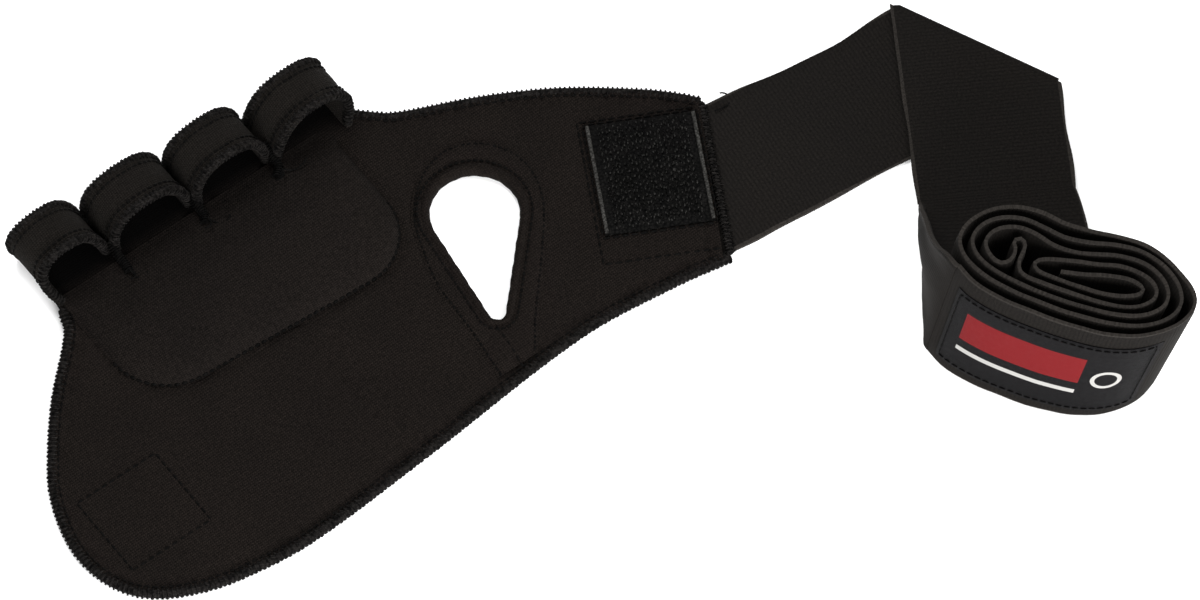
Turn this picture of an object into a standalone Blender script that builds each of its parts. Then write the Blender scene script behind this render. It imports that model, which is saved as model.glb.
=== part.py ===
"""Padded hand grip with four finger loops, a thumb hole, a hook-and-loop closure and an elastic wrist wrap.

The grip lies flat with its lining up. The origin is under the knuckle pad, on the panel's underside.
+X points across the hand to the thumb side, +Y to the fingertips and +Z up through the lining.
The panel folds along two lines to close round the hand, and the wrap leaves its thumb side end, folds over
itself once and ends in a standing roll.
"""

import math

import bmesh
import bpy
from mathutils import Matrix, Vector

MM = 0.001
GAP = 0.3 * MM  # clearance between pieces that touch on the real grip

# Panel
PANEL_THICKNESS = 3.0 * MM
EDGING_RADIUS = 1.6 * MM  # the overlocked edge is a rounded bead of this radius
PALM_FOLD_X = -60.0 * MM
PALM_FLAP_REACH = 46.9 * MM
WRIST_DROP = 98.3 * MM  # from the origin down to the wrist edge
THUMB_FOLD_POINT = Vector((47.2, -18.5)) * MM
THUMB_FOLD_LEAN = math.radians(18.3)
PALM_FOLD_HEIGHT = 6.6 * MM  # fold axes lie this high, so that a folded section clears the pad
THUMB_FOLD_HEIGHT = 8.0 * MM

# Knuckle pad
PAD_LEFT = -57.5 * MM
PAD_RIGHT = 46.4 * MM
PAD_TOP = 12.5 * MM
PAD_BOTTOM_LEFT = -29.5 * MM
PAD_BOTTOM_RIGHT = -36.5 * MM
PAD_CORNER = 21.0 * MM
PAD_TOP_CORNER = 5.0 * MM
PAD_FLANGE = 3.6 * MM
FOAM_THICKNESS = 5.0 * MM
FOAM_EDGE_ROUND = 2.2 * MM
LINING_THICKNESS = 0.8 * MM

# Finger loops, from the little finger to the index finger: name and width
FINGERS = (("little", 24.6 * MM), ("ring", 30.4 * MM), ("middle", 29.1 * MM), ("index", 28.3 * MM))
FINGERS_LEFT = -58.4 * MM
LOOP_THICKNESS = 2.4 * MM
LOOP_TOP = 21.0 * MM
LOOP_SIDE_GAP = 0.6 * MM
LOOP_FOOT_GAP = 1.1 * MM
LOOP_FOOT_HALF = 2.6 * MM
LOOP_FOOT_RISE = 5.5 * MM
LOOP_REAR_Y = 21.0 * MM  # the loops' hem at the origin's X; both lines slant towards the index side
LOOP_FRONT_Y = 39.0 * MM
LOOP_SLANT = -0.06
LOOP_EDGING_RADIUS = 1.2 * MM
LOOP_ROUNDNESS = 2.5  # exponent of the arch; 2 is an ellipse
CROTCH_Y = 16.5 * MM
CROTCH_SEAM_RADIUS = 0.85 * MM

# Thumb hole: the outline round a large and a small circle
HOLE_CENTRE = Vector((65.6, -33.8)) * MM
HOLE_RADIUS = 14.3 * MM
HOLE_TIP_DROP = 0.685  # of the way from the origin to the wrist
HOLE_TIP_FROM_FOLD = 18.45 * MM
HOLE_TIP_RADIUS = 2.6 * MM
BINDING_RADIUS = 1.4 * MM
FACING_THICKNESS = 0.8 * MM
STITCH_RADIUS = 0.4 * MM

# Hook-and-loop closure
HOOK_LENGTH = 35.0 * MM
HOOK_WIDTH = 40.0 * MM
HOOK_THICKNESS = 1.8 * MM
HOOK_FROM_END = 2.8 * MM
HOOK_SHIFT = 4.0 * MM
LOOP_PATCH_LENGTH = 33.0 * MM
LOOP_PATCH_WIDTH = 0.3306 * WRIST_DROP
LOOP_PATCH_THICKNESS = 1.5 * MM
LOOP_PATCH_FROM_FOLD = 4.3 * MM
LOOP_PATCH_MIDDLE_Y = -0.5982 * WRIST_DROP
PATCH_SEAM_INSET = 1.6 * MM

# Elastic wrap
WRAP_WIDTH = 50.0 * MM
WRAP_THICKNESS = 1.3 * MM
PANEL_END_CENTRE = Vector((133.8, -68.9)) * MM
PANEL_END_ANGLE = math.radians(62.5)
SEWN_LENGTH = 41.0 * MM
BOX_SEAM_INSET = 1.0 * MM
FIRST_RUN_HEADING = math.radians(-6.0)
SECOND_RUN_HEADING = math.radians(-124.5)
FIRST_RUN_LENGTH = 95.3 * MM
SECOND_RUN_LENGTH = 60.0 * MM
ROLL_OFFSET = 56.2 * MM  # from the second run's end to the roll's middle
ROLL_OFFSET_HEADING = math.radians(-98.7)
ROLL_HEADING = math.radians(-55.0)
ROLL_HALF_STRAIGHT = 20.0 * MM
ROLL_RADIUS = 18.5 * MM
ROLL_PITCH = 2.3 * MM
ROLL_TURNS = 6.0
ROLL_LOOSENESS = 1.4 * MM
ROLL_START = math.radians(215.0)
TWIST_DONE = 0.7
HOOK_TAB_LENGTH = 24.0 * MM
HOOK_TAB_THICKNESS = 1.0 * MM
LABEL_HEIGHT = 35.0 * MM
LABEL_THICKNESS = 0.5 * MM
LABEL_FROM = math.radians(236.0)
LABEL_TO = math.radians(304.0)

PANEL_TOP = PANEL_THICKNESS
ON_PANEL = PANEL_THICKNESS + GAP
EDGE_INSET = 2 * EDGING_RADIUS + GAP
WRAP_TOP = WRAP_THICKNESS
REBATE_TOP = WRAP_THICKNESS + GAP
LOOP_FOOT = PANEL_TOP + LOOP_FOOT_GAP


def heading(angle):
    return Vector((math.cos(angle), math.sin(angle)))


def left_of(direction):
    return Vector((-direction.y, direction.x))


END_ALONG = heading(PANEL_END_ANGLE)
END_OUT = -left_of(END_ALONG)
THUMB_FOLD_DOWN = -left_of(heading(-THUMB_FOLD_LEAN))
THUMB_FOLD_OUT = left_of(THUMB_FOLD_DOWN)
END_SKEW = math.cos(FIRST_RUN_HEADING - math.atan2(END_OUT.y, END_OUT.x))
END_HALF = WRAP_WIDTH / 2 / END_SKEW + EDGE_INSET
WRAP_HINGE_OUT = 2.4 * MM  # the wrap bends this far outside the panel's end
FOLD_ANGLE = (FIRST_RUN_HEADING + SECOND_RUN_HEADING) / 2
FOLD_ALONG = heading(FOLD_ANGLE)
FOLD_OUT = left_of(FOLD_ALONG)
FOLD_CENTRE = PANEL_END_CENTRE + heading(FIRST_RUN_HEADING) * FIRST_RUN_LENGTH
SECOND_END = FOLD_CENTRE + heading(SECOND_RUN_HEADING) * SECOND_RUN_LENGTH
SECOND_BOTTOM = WRAP_TOP + GAP
ROLL_CENTRE = SECOND_END + heading(ROLL_OFFSET_HEADING) * ROLL_OFFSET


# ---------------------------------------------------------------- scene and materials


def clear_scene():
    for old in list(bpy.data.objects):
        bpy.data.objects.remove(old, do_unlink=True)


def new_collection(name):
    collection = bpy.data.collections.new(name)
    bpy.context.scene.collection.children.link(collection)
    return collection


def material(name, colour, roughness, metallic=0.0):
    made = bpy.data.materials.new(name)
    made.use_nodes = True
    shader = made.node_tree.nodes["Principled BSDF"]
    shader.inputs["Base Color"].default_value = (*colour, 1.0)
    shader.inputs["Roughness"].default_value = roughness
    shader.inputs["Metallic"].default_value = metallic
    return made


clear_scene()
PARTS = new_collection("hand_grip")
CUTTERS = new_collection("hand_grip_cutters")
PANEL_KNIT = material("panel_knit", (0.022, 0.019, 0.017), 0.9)
LINING_KNIT = material("lining_knit", (0.025, 0.022, 0.020), 0.9)
FOAM = material("foam", (0.05, 0.05, 0.05), 0.8)
THREAD = material("thread", (0.018, 0.016, 0.016), 0.7)
HOOK_TAPE = material("hook_tape", (0.030, 0.032, 0.030), 0.5)
LOOP_TAPE = material("loop_tape", (0.020, 0.020, 0.020), 0.95)
ELASTIC = material("elastic", (0.024, 0.021, 0.020), 0.8)
LABEL_WEAVE = material("label_weave", (0.10, 0.10, 0.11), 0.6)


# ---------------------------------------------------------------- outlines and paths


def mm_points(points):
    return [Vector(point) * MM for point in points]


def smooth_path(points, steps=6):
    """A smooth open path through the points, with steps pieces between each two."""
    path = []
    last = len(points) - 1
    for i in range(last):
        before, start, end, after = points[max(i - 1, 0)], points[i], points[i + 1], points[min(i + 2, last)]
        span = (end - start).length
        leave = (end - before).normalized() * span / 3
        arrive = (after - start).normalized() * span / 3
        for step in range(steps):
            t = step / steps
            s = 1 - t
            near = start * s**3 + (start + leave) * 3 * s * s * t
            far = (end - arrive) * 3 * s * t * t + end * t**3
            path.append(near + far)
    return path + [points[last].copy()]


def offset_path(path, distance):
    """The path moved to its right by distance."""
    moved = []
    for i, point in enumerate(path):
        along = path[min(i + 1, len(path) - 1)] - path[max(i - 1, 0)]
        moved.append(point - left_of(along.normalized()) * distance)
    return moved


def arc(centre, radius, start, end, steps):
    turn = (end - start) / steps
    return [centre + heading(start + turn * i) * radius for i in range(steps + 1)]


def rounded_outline(corners, radii, steps=8):
    """A counter-clockwise outline with each corner rounded to its radius."""
    outline = []
    for i, corner in enumerate(corners):
        come = (corner - corners[i - 1]).normalized()
        leave = (corners[(i + 1) % len(corners)] - corner).normalized()
        turn = come.angle_signed(leave) * -1
        back = radii[i] * math.tan(turn / 2)
        centre = corner - come * back + left_of(come) * radii[i]
        start = math.atan2(come.y, come.x) - math.pi / 2
        outline += arc(centre, radii[i], start, start + turn, steps)
    return outline


def rectangle(centre, along, length, width):
    across = left_of(along)
    a, b = along * length / 2, across * width / 2
    return [centre - a - b, centre + a - b, centre + a + b, centre - a + b]


def circles_outline(big, big_radius, small, small_radius, steps=20):
    """The counter-clockwise outline drawn tight round two circles."""
    along = big - small
    base = math.atan2(along.y, along.x)
    spread = math.acos((small_radius - big_radius) / along.length)
    outline = arc(big, big_radius, base - spread, base + spread, steps)
    return outline + arc(small, small_radius, base + spread, base + 2 * math.pi - spread, steps // 3)


def beside_thumb_fold(drop, gap):
    """A point on the thumb side of the fold line, at a share of the wrist drop."""
    y = -drop * WRIST_DROP
    return Vector((THUMB_FOLD_POINT.x + (y - THUMB_FOLD_POINT.y) * math.tan(THUMB_FOLD_LEAN) + gap, y))


def hole_tip():
    return beside_thumb_fold(HOLE_TIP_DROP, HOLE_TIP_FROM_FOLD)


def hole_outline(offset):
    return circles_outline(HOLE_CENTRE, HOLE_RADIUS + offset, hole_tip(), HOLE_TIP_RADIUS + offset)


def beyond_line(path, point, out):
    """The stretch of an open path on the out side of a line, cut exactly at the line."""
    kept = []
    for start, end in zip(path, path[1:]):
        near, far = (start - point).dot(out), (end - point).dot(out)
        if near >= 0:
            kept.append(start)
        if near * far < 0:
            kept.append(start + (end - start) * (near / (near - far)))
    if (path[-1] - point).dot(out) >= 0:
        kept.append(path[-1])
    return kept


# ---------------------------------------------------------------- solids


def link(obj, finish):
    obj.data.materials.clear()
    obj.data.materials.append(finish)
    PARTS.objects.link(obj)
    return obj


def curve_object(name, dimensions, paths, closed):
    data = bpy.data.curves.new(name, "CURVE")
    data.dimensions = dimensions
    for path in paths:
        spline = data.splines.new("POLY")
        spline.points.add(len(path) - 1)
        for spot, point in zip(spline.points, path):
            spot.co = (*point.to_3d(), 1.0)
        spline.use_cyclic_u = closed
    return bpy.data.objects.new(name, data)


def as_mesh(curve, tidy_caps=True):
    """The curve as a mesh object with its caps welded on; the curve is removed."""
    bpy.context.scene.collection.objects.link(curve)
    graph = bpy.context.evaluated_depsgraph_get()
    mesh = bpy.data.meshes.new_from_object(curve.evaluated_get(graph))
    place = curve.matrix_world.copy()
    name = curve.name
    bpy.data.objects.remove(curve, do_unlink=True)
    shape = bmesh.new()
    shape.from_mesh(mesh)
    bmesh.ops.remove_doubles(shape, verts=shape.verts, dist=0.00001)
    if tidy_caps:
        bmesh.ops.dissolve_limit(shape, angle_limit=math.radians(0.05), verts=shape.verts, edges=shape.edges)
    bmesh.ops.recalc_face_normals(shape, faces=shape.faces)
    shape.to_mesh(mesh)
    shape.free()
    made = bpy.data.objects.new(name, mesh)
    made.matrix_world = place
    return made


def flat_piece(name, outlines, bottom, top, tidy_caps=True):
    """A plate between two heights: the first outline less the others."""
    curve = curve_object(name, "2D", outlines, closed=True)
    curve.data.fill_mode = "BOTH"
    curve.data.extrude = (top - bottom) / 2
    plate = as_mesh(curve, tidy_caps)
    plate.data.transform(Matrix.Translation((0, 0, (top + bottom) / 2)))
    return plate


def thread(name, path, radius, finish=THREAD, closed=False, sides=1):
    """A round thread or bead along a path of points with heights."""
    curve = curve_object(name, "3D", [path], closed)
    curve.data.bevel_depth = radius
    curve.data.bevel_resolution = sides
    curve.data.use_fill_caps = not closed
    return link(curve, finish)


def at_height(path, height):
    return [Vector((point.x, point.y, height)) for point in path]


def keep_side(obj, point, out):
    """Cuts the solid with a plane and keeps what lies on the out side."""
    shape = bmesh.new()
    shape.from_mesh(obj.data)
    everything = shape.verts[:] + shape.edges[:] + shape.faces[:]
    bmesh.ops.bisect_plane(shape, geom=everything, plane_co=point.to_3d(), plane_no=out.to_3d(), clear_inner=True)
    open_edges = [edge for edge in shape.edges if edge.is_boundary]
    bmesh.ops.holes_fill(shape, edges=open_edges)
    bmesh.ops.recalc_face_normals(shape, faces=shape.faces)
    shape.to_mesh(obj.data)
    shape.free()
    return obj


def subtract(obj, cutter):
    cutter.hide_render = True
    cutter.display_type = "WIRE"
    CUTTERS.objects.link(cutter)
    cut = obj.modifiers.new("cut", "BOOLEAN")
    cut.operation = "DIFFERENCE"
    cut.object = cutter


def round_top(obj, radius, segments=3):
    """Rounds the upper edge of a plate."""
    shape = bmesh.new()
    shape.from_mesh(obj.data)
    top = max(vert.co.z for vert in shape.verts)
    rim = [edge for edge in shape.edges if all(abs(vert.co.z - top) < GAP / 10 for vert in edge.verts)]
    bmesh.ops.bevel(shape, geom=rim, offset=radius, segments=segments, profile=0.5, affect="EDGES")
    shape.to_mesh(obj.data)
    shape.free()
    return obj


# ---------------------------------------------------------------- panel outline


def end_point(out, along):
    """A point placed from the panel's thumb side end: out beyond it and along it."""
    return PANEL_END_CENTRE + END_OUT * out + END_ALONG * along


def flap_point(reach, drop):
    """A point on the palm flap's edge, as shares of its reach and of the wrist drop."""
    return Vector((PALM_FOLD_X - reach * PALM_FLAP_REACH, -drop * WRIST_DROP))


def upper_edge():
    """The panel's edge from the index loop's foot to past the thumb side end."""
    shoulder = mm_points([(57.5, 19.5), (60.5, 16.5), (67, 11), (88, 1.5), (102, -5.7), (116.5, -14.7)])
    corner = [end_point(-16 * MM, END_HALF + 5 * MM), end_point(-5 * MM, END_HALF + 1.5 * MM)]
    return smooth_path(shoulder + corner + [end_point(8 * MM, END_HALF - 4 * MM)], 4)


def lower_edge():
    """The panel's edge from past the thumb side end, along the wrist and round the flap to the little finger."""
    corner = [end_point(8 * MM, -END_HALF), end_point(-18 * MM, -END_HALF - 6 * MM)]
    wrist = [Vector((0.066, -0.914 * WRIST_DROP)), Vector((0, -0.97 * WRIST_DROP)), Vector((-0.046, -WRIST_DROP))]
    round_flap = [(0.2, 0.975), (0.47, 0.94), (0.74, 0.875), (0.9, 0.795), (0.99, 0.68), (0.99, 0.545)]
    left = [(0.87, 0.37), (0.68, 0.234), (0.42, 0.084), (0.055, -0.087)]
    flap = [flap_point(reach, drop) for reach, drop in round_flap + left]
    return smooth_path(corner + wrist + flap + mm_points([(-60.1, 15.5)]), 4)


def loop_line(x, y_at_origin):
    return y_at_origin + LOOP_SLANT * x


def finger_spans():
    """Each finger's name with the X of its two sides."""
    spans = []
    left = FINGERS_LEFT
    for name, width in FINGERS:
        spans.append((name, left, left + width))
        left += width
    return spans


def finger_tongues():
    """The panel's finger edge, left to right: a tongue under each loop and a notch between each two."""
    outline = []
    for index, (_, left, right) in enumerate(finger_spans()):
        if index:
            outline.append(Vector((left, CROTCH_Y)))
        for x in (left + LOOP_SIDE_GAP, right - LOOP_SIDE_GAP):
            outline.append(Vector((x, loop_line(x, LOOP_FRONT_Y) - LOOP_EDGING_RADIUS)))
    return outline


def panel_outline():
    around = offset_path(upper_edge(), EDGE_INSET) + offset_path(lower_edge(), EDGE_INSET)
    first, last = finger_spans()[0][1], finger_spans()[-1][2]
    little_foot = Vector((first + LOOP_SIDE_GAP, CROTCH_Y + 3 * MM))
    index_foot = Vector((last - LOOP_SIDE_GAP, CROTCH_Y + 2 * MM))
    return around + [little_foot] + finger_tongues() + [index_foot]


def panel_section(name):
    outline = [panel_outline(), hole_outline(2 * BINDING_RADIUS + GAP)]
    section = flat_piece(name, outline, 0, PANEL_THICKNESS)
    return keep_side(section, PANEL_END_CENTRE - END_OUT * 1.2 * MM, -END_OUT)


# ---------------------------------------------------------------- back of the hand


def make_back_panel():
    back = panel_section("panel_back")
    keep_side(back, Vector((PALM_FOLD_X + GAP, 0)), Vector((1, 0)))
    keep_side(back, THUMB_FOLD_POINT - THUMB_FOLD_OUT * GAP, -THUMB_FOLD_OUT)
    link(back, PANEL_KNIT)


def pad_outline(inset):
    corners = [
        Vector((PAD_LEFT + inset, PAD_BOTTOM_LEFT + inset)),
        Vector((PAD_RIGHT - inset, PAD_BOTTOM_RIGHT + inset)),
        Vector((PAD_RIGHT - inset, PAD_TOP - inset)),
        Vector((PAD_LEFT + inset, PAD_TOP - inset)),
    ]
    lower, upper = PAD_CORNER - inset, max(PAD_TOP_CORNER - inset, 1 * MM)
    return rounded_outline(corners, [lower, lower, upper, upper])


def pad_block(name, inset, top, rounding, bottom=ON_PANEL):
    return round_top(flat_piece(name, [pad_outline(inset)], bottom, top), rounding)


def make_pad():
    foam_top = ON_PANEL + FOAM_THICKNESS
    roof = foam_top + GAP + LINING_THICKNESS
    inner = PAD_FLANGE + LINING_THICKNESS
    lining = pad_block("pad_lining", PAD_FLANGE, roof, FOAM_EDGE_ROUND + LINING_THICKNESS + GAP)
    flange = flat_piece("pad_flange", [pad_outline(0)], ON_PANEL, ON_PANEL + LINING_THICKNESS)
    flange.hide_render = True
    flange.display_type = "WIRE"
    CUTTERS.objects.link(flange)
    join = lining.modifiers.new("flange", "BOOLEAN")
    join.operation = "UNION"
    join.object = flange
    hollow = pad_block("pad_hollow", inner, foam_top + GAP, FOAM_EDGE_ROUND + GAP, ON_PANEL - 1 * MM)
    subtract(lining, hollow)
    link(lining, LINING_KNIT)
    link(pad_block("knuckle_foam", inner + GAP, foam_top, FOAM_EDGE_ROUND), FOAM)
    seam_height = ON_PANEL + LINING_THICKNESS + GAP + STITCH_RADIUS
    thread("pad_seam", at_height(pad_outline(PAD_FLANGE / 2), seam_height), STITCH_RADIUS, closed=True, sides=0)


def make_crotch_seams():
    height = ON_PANEL + CROTCH_SEAM_RADIUS
    for index, (_, left, _) in enumerate(finger_spans()[1:], start=1):
        tail = [Vector((left - 0.8 * MM, PAD_TOP + 1.5 * MM, height)), Vector((left, CROTCH_Y - 1 * MM, height))]
        seam = tail + [Vector((left, CROTCH_Y + 1.2 * MM, height))]
        thread(f"crotch_seam_{index}", seam, CROTCH_SEAM_RADIUS)


# ---------------------------------------------------------------- finger loops


def arch(half_width, height, foot, from_height=0.0, steps=16):
    """An arch over the X axis from left to right, standing on foot and cut off below from_height."""
    points = []
    power = 2 / LOOP_ROUNDNESS
    for i in range(steps + 1):
        angle = math.pi * (1 - i / steps)
        x = math.copysign(abs(math.cos(angle)) ** power, math.cos(angle)) * half_width
        z = foot + abs(math.sin(angle)) ** power * (height - foot)
        if z >= from_height:
            points.append(Vector((x, z)))
    return points


def make_loop(name, left, right):
    middle = (left + right) / 2
    half = (right - left) / 2 - LOOP_SIDE_GAP
    rear = loop_line(middle, LOOP_REAR_Y)
    front = loop_line(middle, LOOP_FRONT_Y)
    band_front = front - 2 * LOOP_EDGING_RADIUS - GAP
    pivot = (rear + front) / 2

    outer = arch(half, LOOP_TOP, LOOP_FOOT)
    inner = arch(half - LOOP_THICKNESS, LOOP_TOP - LOOP_THICKNESS, LOOP_FOOT)
    band = flat_piece(f"finger_loop_{name}", [outer + inner[::-1]], 0, band_front - rear)
    stand = Matrix(((1, 0, 0, middle), (0, 0, -1, band_front), (0, 1, 0, 0), (0, 0, 0, 1)))
    band.data.transform(stand)
    for side, edge in ((-1, rear), (1, band_front)):
        foot_corner = Vector((0, pivot + side * LOOP_FOOT_HALF, LOOP_FOOT))
        upper_corner = Vector((0, edge, LOOP_FOOT + LOOP_FOOT_RISE))
        slope = upper_corner - foot_corner
        keep_side(band, foot_corner, Vector((0, -side * slope.z, side * slope.y)))
    link(band, PANEL_KNIT)

    clear = LOOP_FOOT + LOOP_FOOT_RISE
    ridge = arch(half - LOOP_THICKNESS / 2, LOOP_TOP - LOOP_THICKNESS / 2, LOOP_FOOT, clear)
    edging = [Vector((middle + point.x, front - LOOP_EDGING_RADIUS, point.y)) for point in ridge]
    thread(f"loop_edging_{name}", edging, LOOP_EDGING_RADIUS)
    proud = GAP + STITCH_RADIUS
    crest = arch(half + proud, LOOP_TOP + proud, LOOP_FOOT, clear + 2 * MM)
    hem = [Vector((middle + point.x, rear + 2.2 * MM, point.y)) for point in crest]
    thread(f"loop_hem_seam_{name}", hem, STITCH_RADIUS, sides=0)


# ---------------------------------------------------------------- edging


def make_edging():
    upper = offset_path(upper_edge(), EDGING_RADIUS)
    lower = offset_path(lower_edge(), EDGING_RADIUS)
    height = EDGING_RADIUS + 0.1 * MM
    end = PANEL_END_CENTRE - END_OUT * 0.9 * MM
    thumb_line = THUMB_FOLD_POINT + THUMB_FOLD_OUT * 2 * GAP
    back_line = THUMB_FOLD_POINT - THUMB_FOLD_OUT * 2 * GAP
    palm_line = Vector((PALM_FOLD_X - 2 * GAP, 0))
    runs = {
        "thumb_edging_upper": beyond_line(beyond_line(upper, end, -END_OUT), thumb_line, THUMB_FOLD_OUT),
        "thumb_edging_lower": beyond_line(beyond_line(lower, end, -END_OUT), thumb_line, THUMB_FOLD_OUT),
        "back_edging": beyond_line(
            beyond_line(lower, back_line, -THUMB_FOLD_OUT), Vector((PALM_FOLD_X + 2 * GAP, 0)), Vector((1, 0))
        ),
        "palm_flap_edging": beyond_line(lower, palm_line, Vector((-1, 0))),
    }
    low = -WRIST_DROP / 2
    runs["back_edging"] = [point for point in runs["back_edging"] if point.y < low]
    for name, path in runs.items():
        thread(name, at_height(path, height), EDGING_RADIUS)
    seam_half = END_HALF - EDGE_INSET
    seam_height = REBATE_TOP + 0.85 * MM
    end_seam = [end_point(0, along) for along in (-seam_half, 0, seam_half)]
    thread("panel_end_seam", at_height(end_seam, seam_height), 0.8 * MM)


# ---------------------------------------------------------------- palm flap


def loop_patch_outline(grow=0.0):
    centre = Vector((PALM_FOLD_X - LOOP_PATCH_FROM_FOLD - LOOP_PATCH_LENGTH / 2, LOOP_PATCH_MIDDLE_Y))
    return rectangle(centre, Vector((1, 0)), LOOP_PATCH_LENGTH + grow, LOOP_PATCH_WIDTH + grow)


def make_palm_flap():
    flap = panel_section("panel_palm_flap")
    keep_side(flap, Vector((PALM_FOLD_X - GAP, 0)), Vector((-1, 0)))
    recess = flat_piece("loop_patch_recess", [loop_patch_outline(2 * GAP)], -1 * MM, LOOP_PATCH_THICKNESS + GAP)
    subtract(flap, recess)
    link(flap, PANEL_KNIT)
    link(flat_piece("loop_patch", [loop_patch_outline()], 0, LOOP_PATCH_THICKNESS), LOOP_TAPE)
    seam = at_height(loop_patch_outline(-2 * PATCH_SEAM_INSET), ON_PANEL + STITCH_RADIUS)
    thread("loop_patch_seam", seam, STITCH_RADIUS, closed=True, sides=0)


# ---------------------------------------------------------------- thumb side


def beside_hole(share, gap):
    """A point gap outside the hole's right side, at a share of the way from its centre to its tip."""
    run = hole_tip() - HOLE_CENTRE
    turn = math.acos((HOLE_RADIUS - HOLE_TIP_RADIUS) / run.length)
    out = heading(math.atan2(run.y, run.x) + turn)
    down = heading(math.atan2(run.y, run.x) + turn - math.pi / 2)
    return HOLE_CENTRE + out * (HOLE_RADIUS + gap) + down * run.length * math.sin(turn) * share


def facing_outline():
    """The facing's outer edge, from its left tail at the wrist over the hole to its right tail."""
    left = [Vector((0.0357, -0.878 * WRIST_DROP)), beside_thumb_fold(0.682, 6.8 * MM)]
    left += [beside_thumb_fold(0.488, 2.0 * MM), beside_thumb_fold(0.362, 1.6 * MM)]
    over = mm_points([(48.4, -23.4), (59.6, -12.9), (72, -9.9), (83.6, -15.6), (89.6, -28), (87, -42)])
    right = [beside_hole(0.2, 9.2 * MM), beside_hole(1.026, 10.5 * MM), beside_hole(1.353, 11.8 * MM)]
    return smooth_path(left + over + right, 4)


def make_thumb_hole():
    clear_of_binding = 2 * BINDING_RADIUS + GAP
    facing_top = ON_PANEL + FACING_THICKNESS
    outline = [facing_outline(), hole_outline(clear_of_binding)]
    link(flat_piece("thumb_hole_facing", outline, ON_PANEL, facing_top), PANEL_KNIT)
    binding = at_height(hole_outline(BINDING_RADIUS), BINDING_RADIUS + 0.1 * MM)
    thread("thumb_hole_binding", binding, BINDING_RADIUS, PANEL_KNIT, closed=True)
    seam_height = facing_top + GAP + STITCH_RADIUS
    inner = at_height(hole_outline(clear_of_binding + 0.8 * MM), seam_height)
    thread("facing_seam_inner", inner, STITCH_RADIUS, closed=True, sides=0)
    outer = at_height(offset_path(facing_outline(), 0.8 * MM), seam_height)
    thread("facing_seam_outer", outer, STITCH_RADIUS, sides=0)


def hook_patch_outline(grow=0.0):
    centre = end_point(-HOOK_FROM_END - HOOK_LENGTH / 2, HOOK_SHIFT)
    return rectangle(centre, END_OUT, HOOK_LENGTH + 2 * grow, HOOK_WIDTH + 2 * grow)


def sewn_end_outline(grow=0.0, beyond=0.0):
    outer = WRAP_HINGE_OUT - GAP + beyond
    half = WRAP_WIDTH / 2 / END_SKEW + grow
    inner = -SEWN_LENGTH - grow
    return [end_point(inner, -half), end_point(outer, -half), end_point(outer, half), end_point(inner, half)]


def make_thumb_side():
    side = panel_section("panel_thumb_side")
    keep_side(side, THUMB_FOLD_POINT + THUMB_FOLD_OUT * GAP, THUMB_FOLD_OUT)
    subtract(side, flat_piece("wrap_rebate", [sewn_end_outline(GAP, 10 * MM)], -1 * MM, REBATE_TOP))
    link(side, PANEL_KNIT)
    link(flat_piece("wrap_sewn_end", [sewn_end_outline()], 0, WRAP_TOP), ELASTIC)
    hook_top = ON_PANEL + HOOK_THICKNESS
    link(flat_piece("hook_patch", [hook_patch_outline()], ON_PANEL, hook_top), HOOK_TAPE)
    hook_seam = at_height(hook_patch_outline(GAP + STITCH_RADIUS), ON_PANEL + STITCH_RADIUS)
    thread("hook_patch_seam", hook_seam, STITCH_RADIUS, closed=True, sides=0)
    half = WRAP_WIDTH / 2 / END_SKEW - 0.8 * MM
    inner = -SEWN_LENGTH + BOX_SEAM_INSET
    row = [end_point(-3 * MM, half), end_point(inner, half), end_point(inner, -half), end_point(-3 * MM, -half)]
    thread("wrap_box_seam", at_height(row, ON_PANEL + STITCH_RADIUS), STITCH_RADIUS, sides=0)


# ---------------------------------------------------------------- wrap


def strip(name, centre, direction, back, ahead, bottom):
    """A straight length of wrap about centre, to be cut at its ends."""
    middle = centre + direction * (ahead - back) / 2
    outline = rectangle(middle, direction, back + ahead, WRAP_WIDTH)
    return flat_piece(name, [outline], bottom, bottom + WRAP_THICKNESS)


def make_runs():
    first = strip("wrap_first_run", FOLD_CENTRE, heading(FIRST_RUN_HEADING), 2 * FIRST_RUN_LENGTH, WRAP_WIDTH, 0)
    keep_side(first, end_point(WRAP_HINGE_OUT + GAP, 0), END_OUT)
    keep_side(first, FOLD_CENTRE, -FOLD_OUT)
    link(first, ELASTIC)
    ahead = heading(SECOND_RUN_HEADING)
    second = strip("wrap_second_run", FOLD_CENTRE, ahead, WRAP_WIDTH, SECOND_RUN_LENGTH, SECOND_BOTTOM)
    keep_side(second, FOLD_CENTRE, -FOLD_OUT)
    link(second, ELASTIC)


def roll_point(angle, proud=0.0):
    """A point on the roll's spiral path: arcs round two centres, drawing inwards as the angle grows."""
    turns = (angle - ROLL_START) / (2 * math.pi)
    slack = min(max(turns - 0.3, 0.0) / 0.6, 1.0)
    radius = ROLL_RADIUS - WRAP_THICKNESS / 2 - ROLL_PITCH * turns - ROLL_LOOSENESS * slack + proud
    along, across = heading(ROLL_HEADING), left_of(heading(ROLL_HEADING))
    side = math.copysign(ROLL_HALF_STRAIGHT, math.cos(angle))
    return ROLL_CENTRE + along * (side + math.cos(angle) * radius) + across * math.sin(angle) * radius


def roll_path(start, end, proud=0.0, step=math.radians(12)):
    """The spiral from one angle to another, with a point on each side of every straight stretch."""
    count = max(int(abs(end - start) / step), 2)
    angles = [start + (end - start) * i / count for i in range(count + 1)]
    crossings = []
    quarter = math.pi / 2
    for n in range(math.ceil(start / quarter), math.floor(end / quarter) + 1):
        if n % 2:
            crossings += [n * quarter - 1e-4, n * quarter + 1e-4]
    return [roll_point(angle, proud) for angle in sorted(angles + crossings)]


def band_outline(path, thickness):
    return offset_path(path, thickness / 2) + offset_path(path, -thickness / 2)[::-1]


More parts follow.
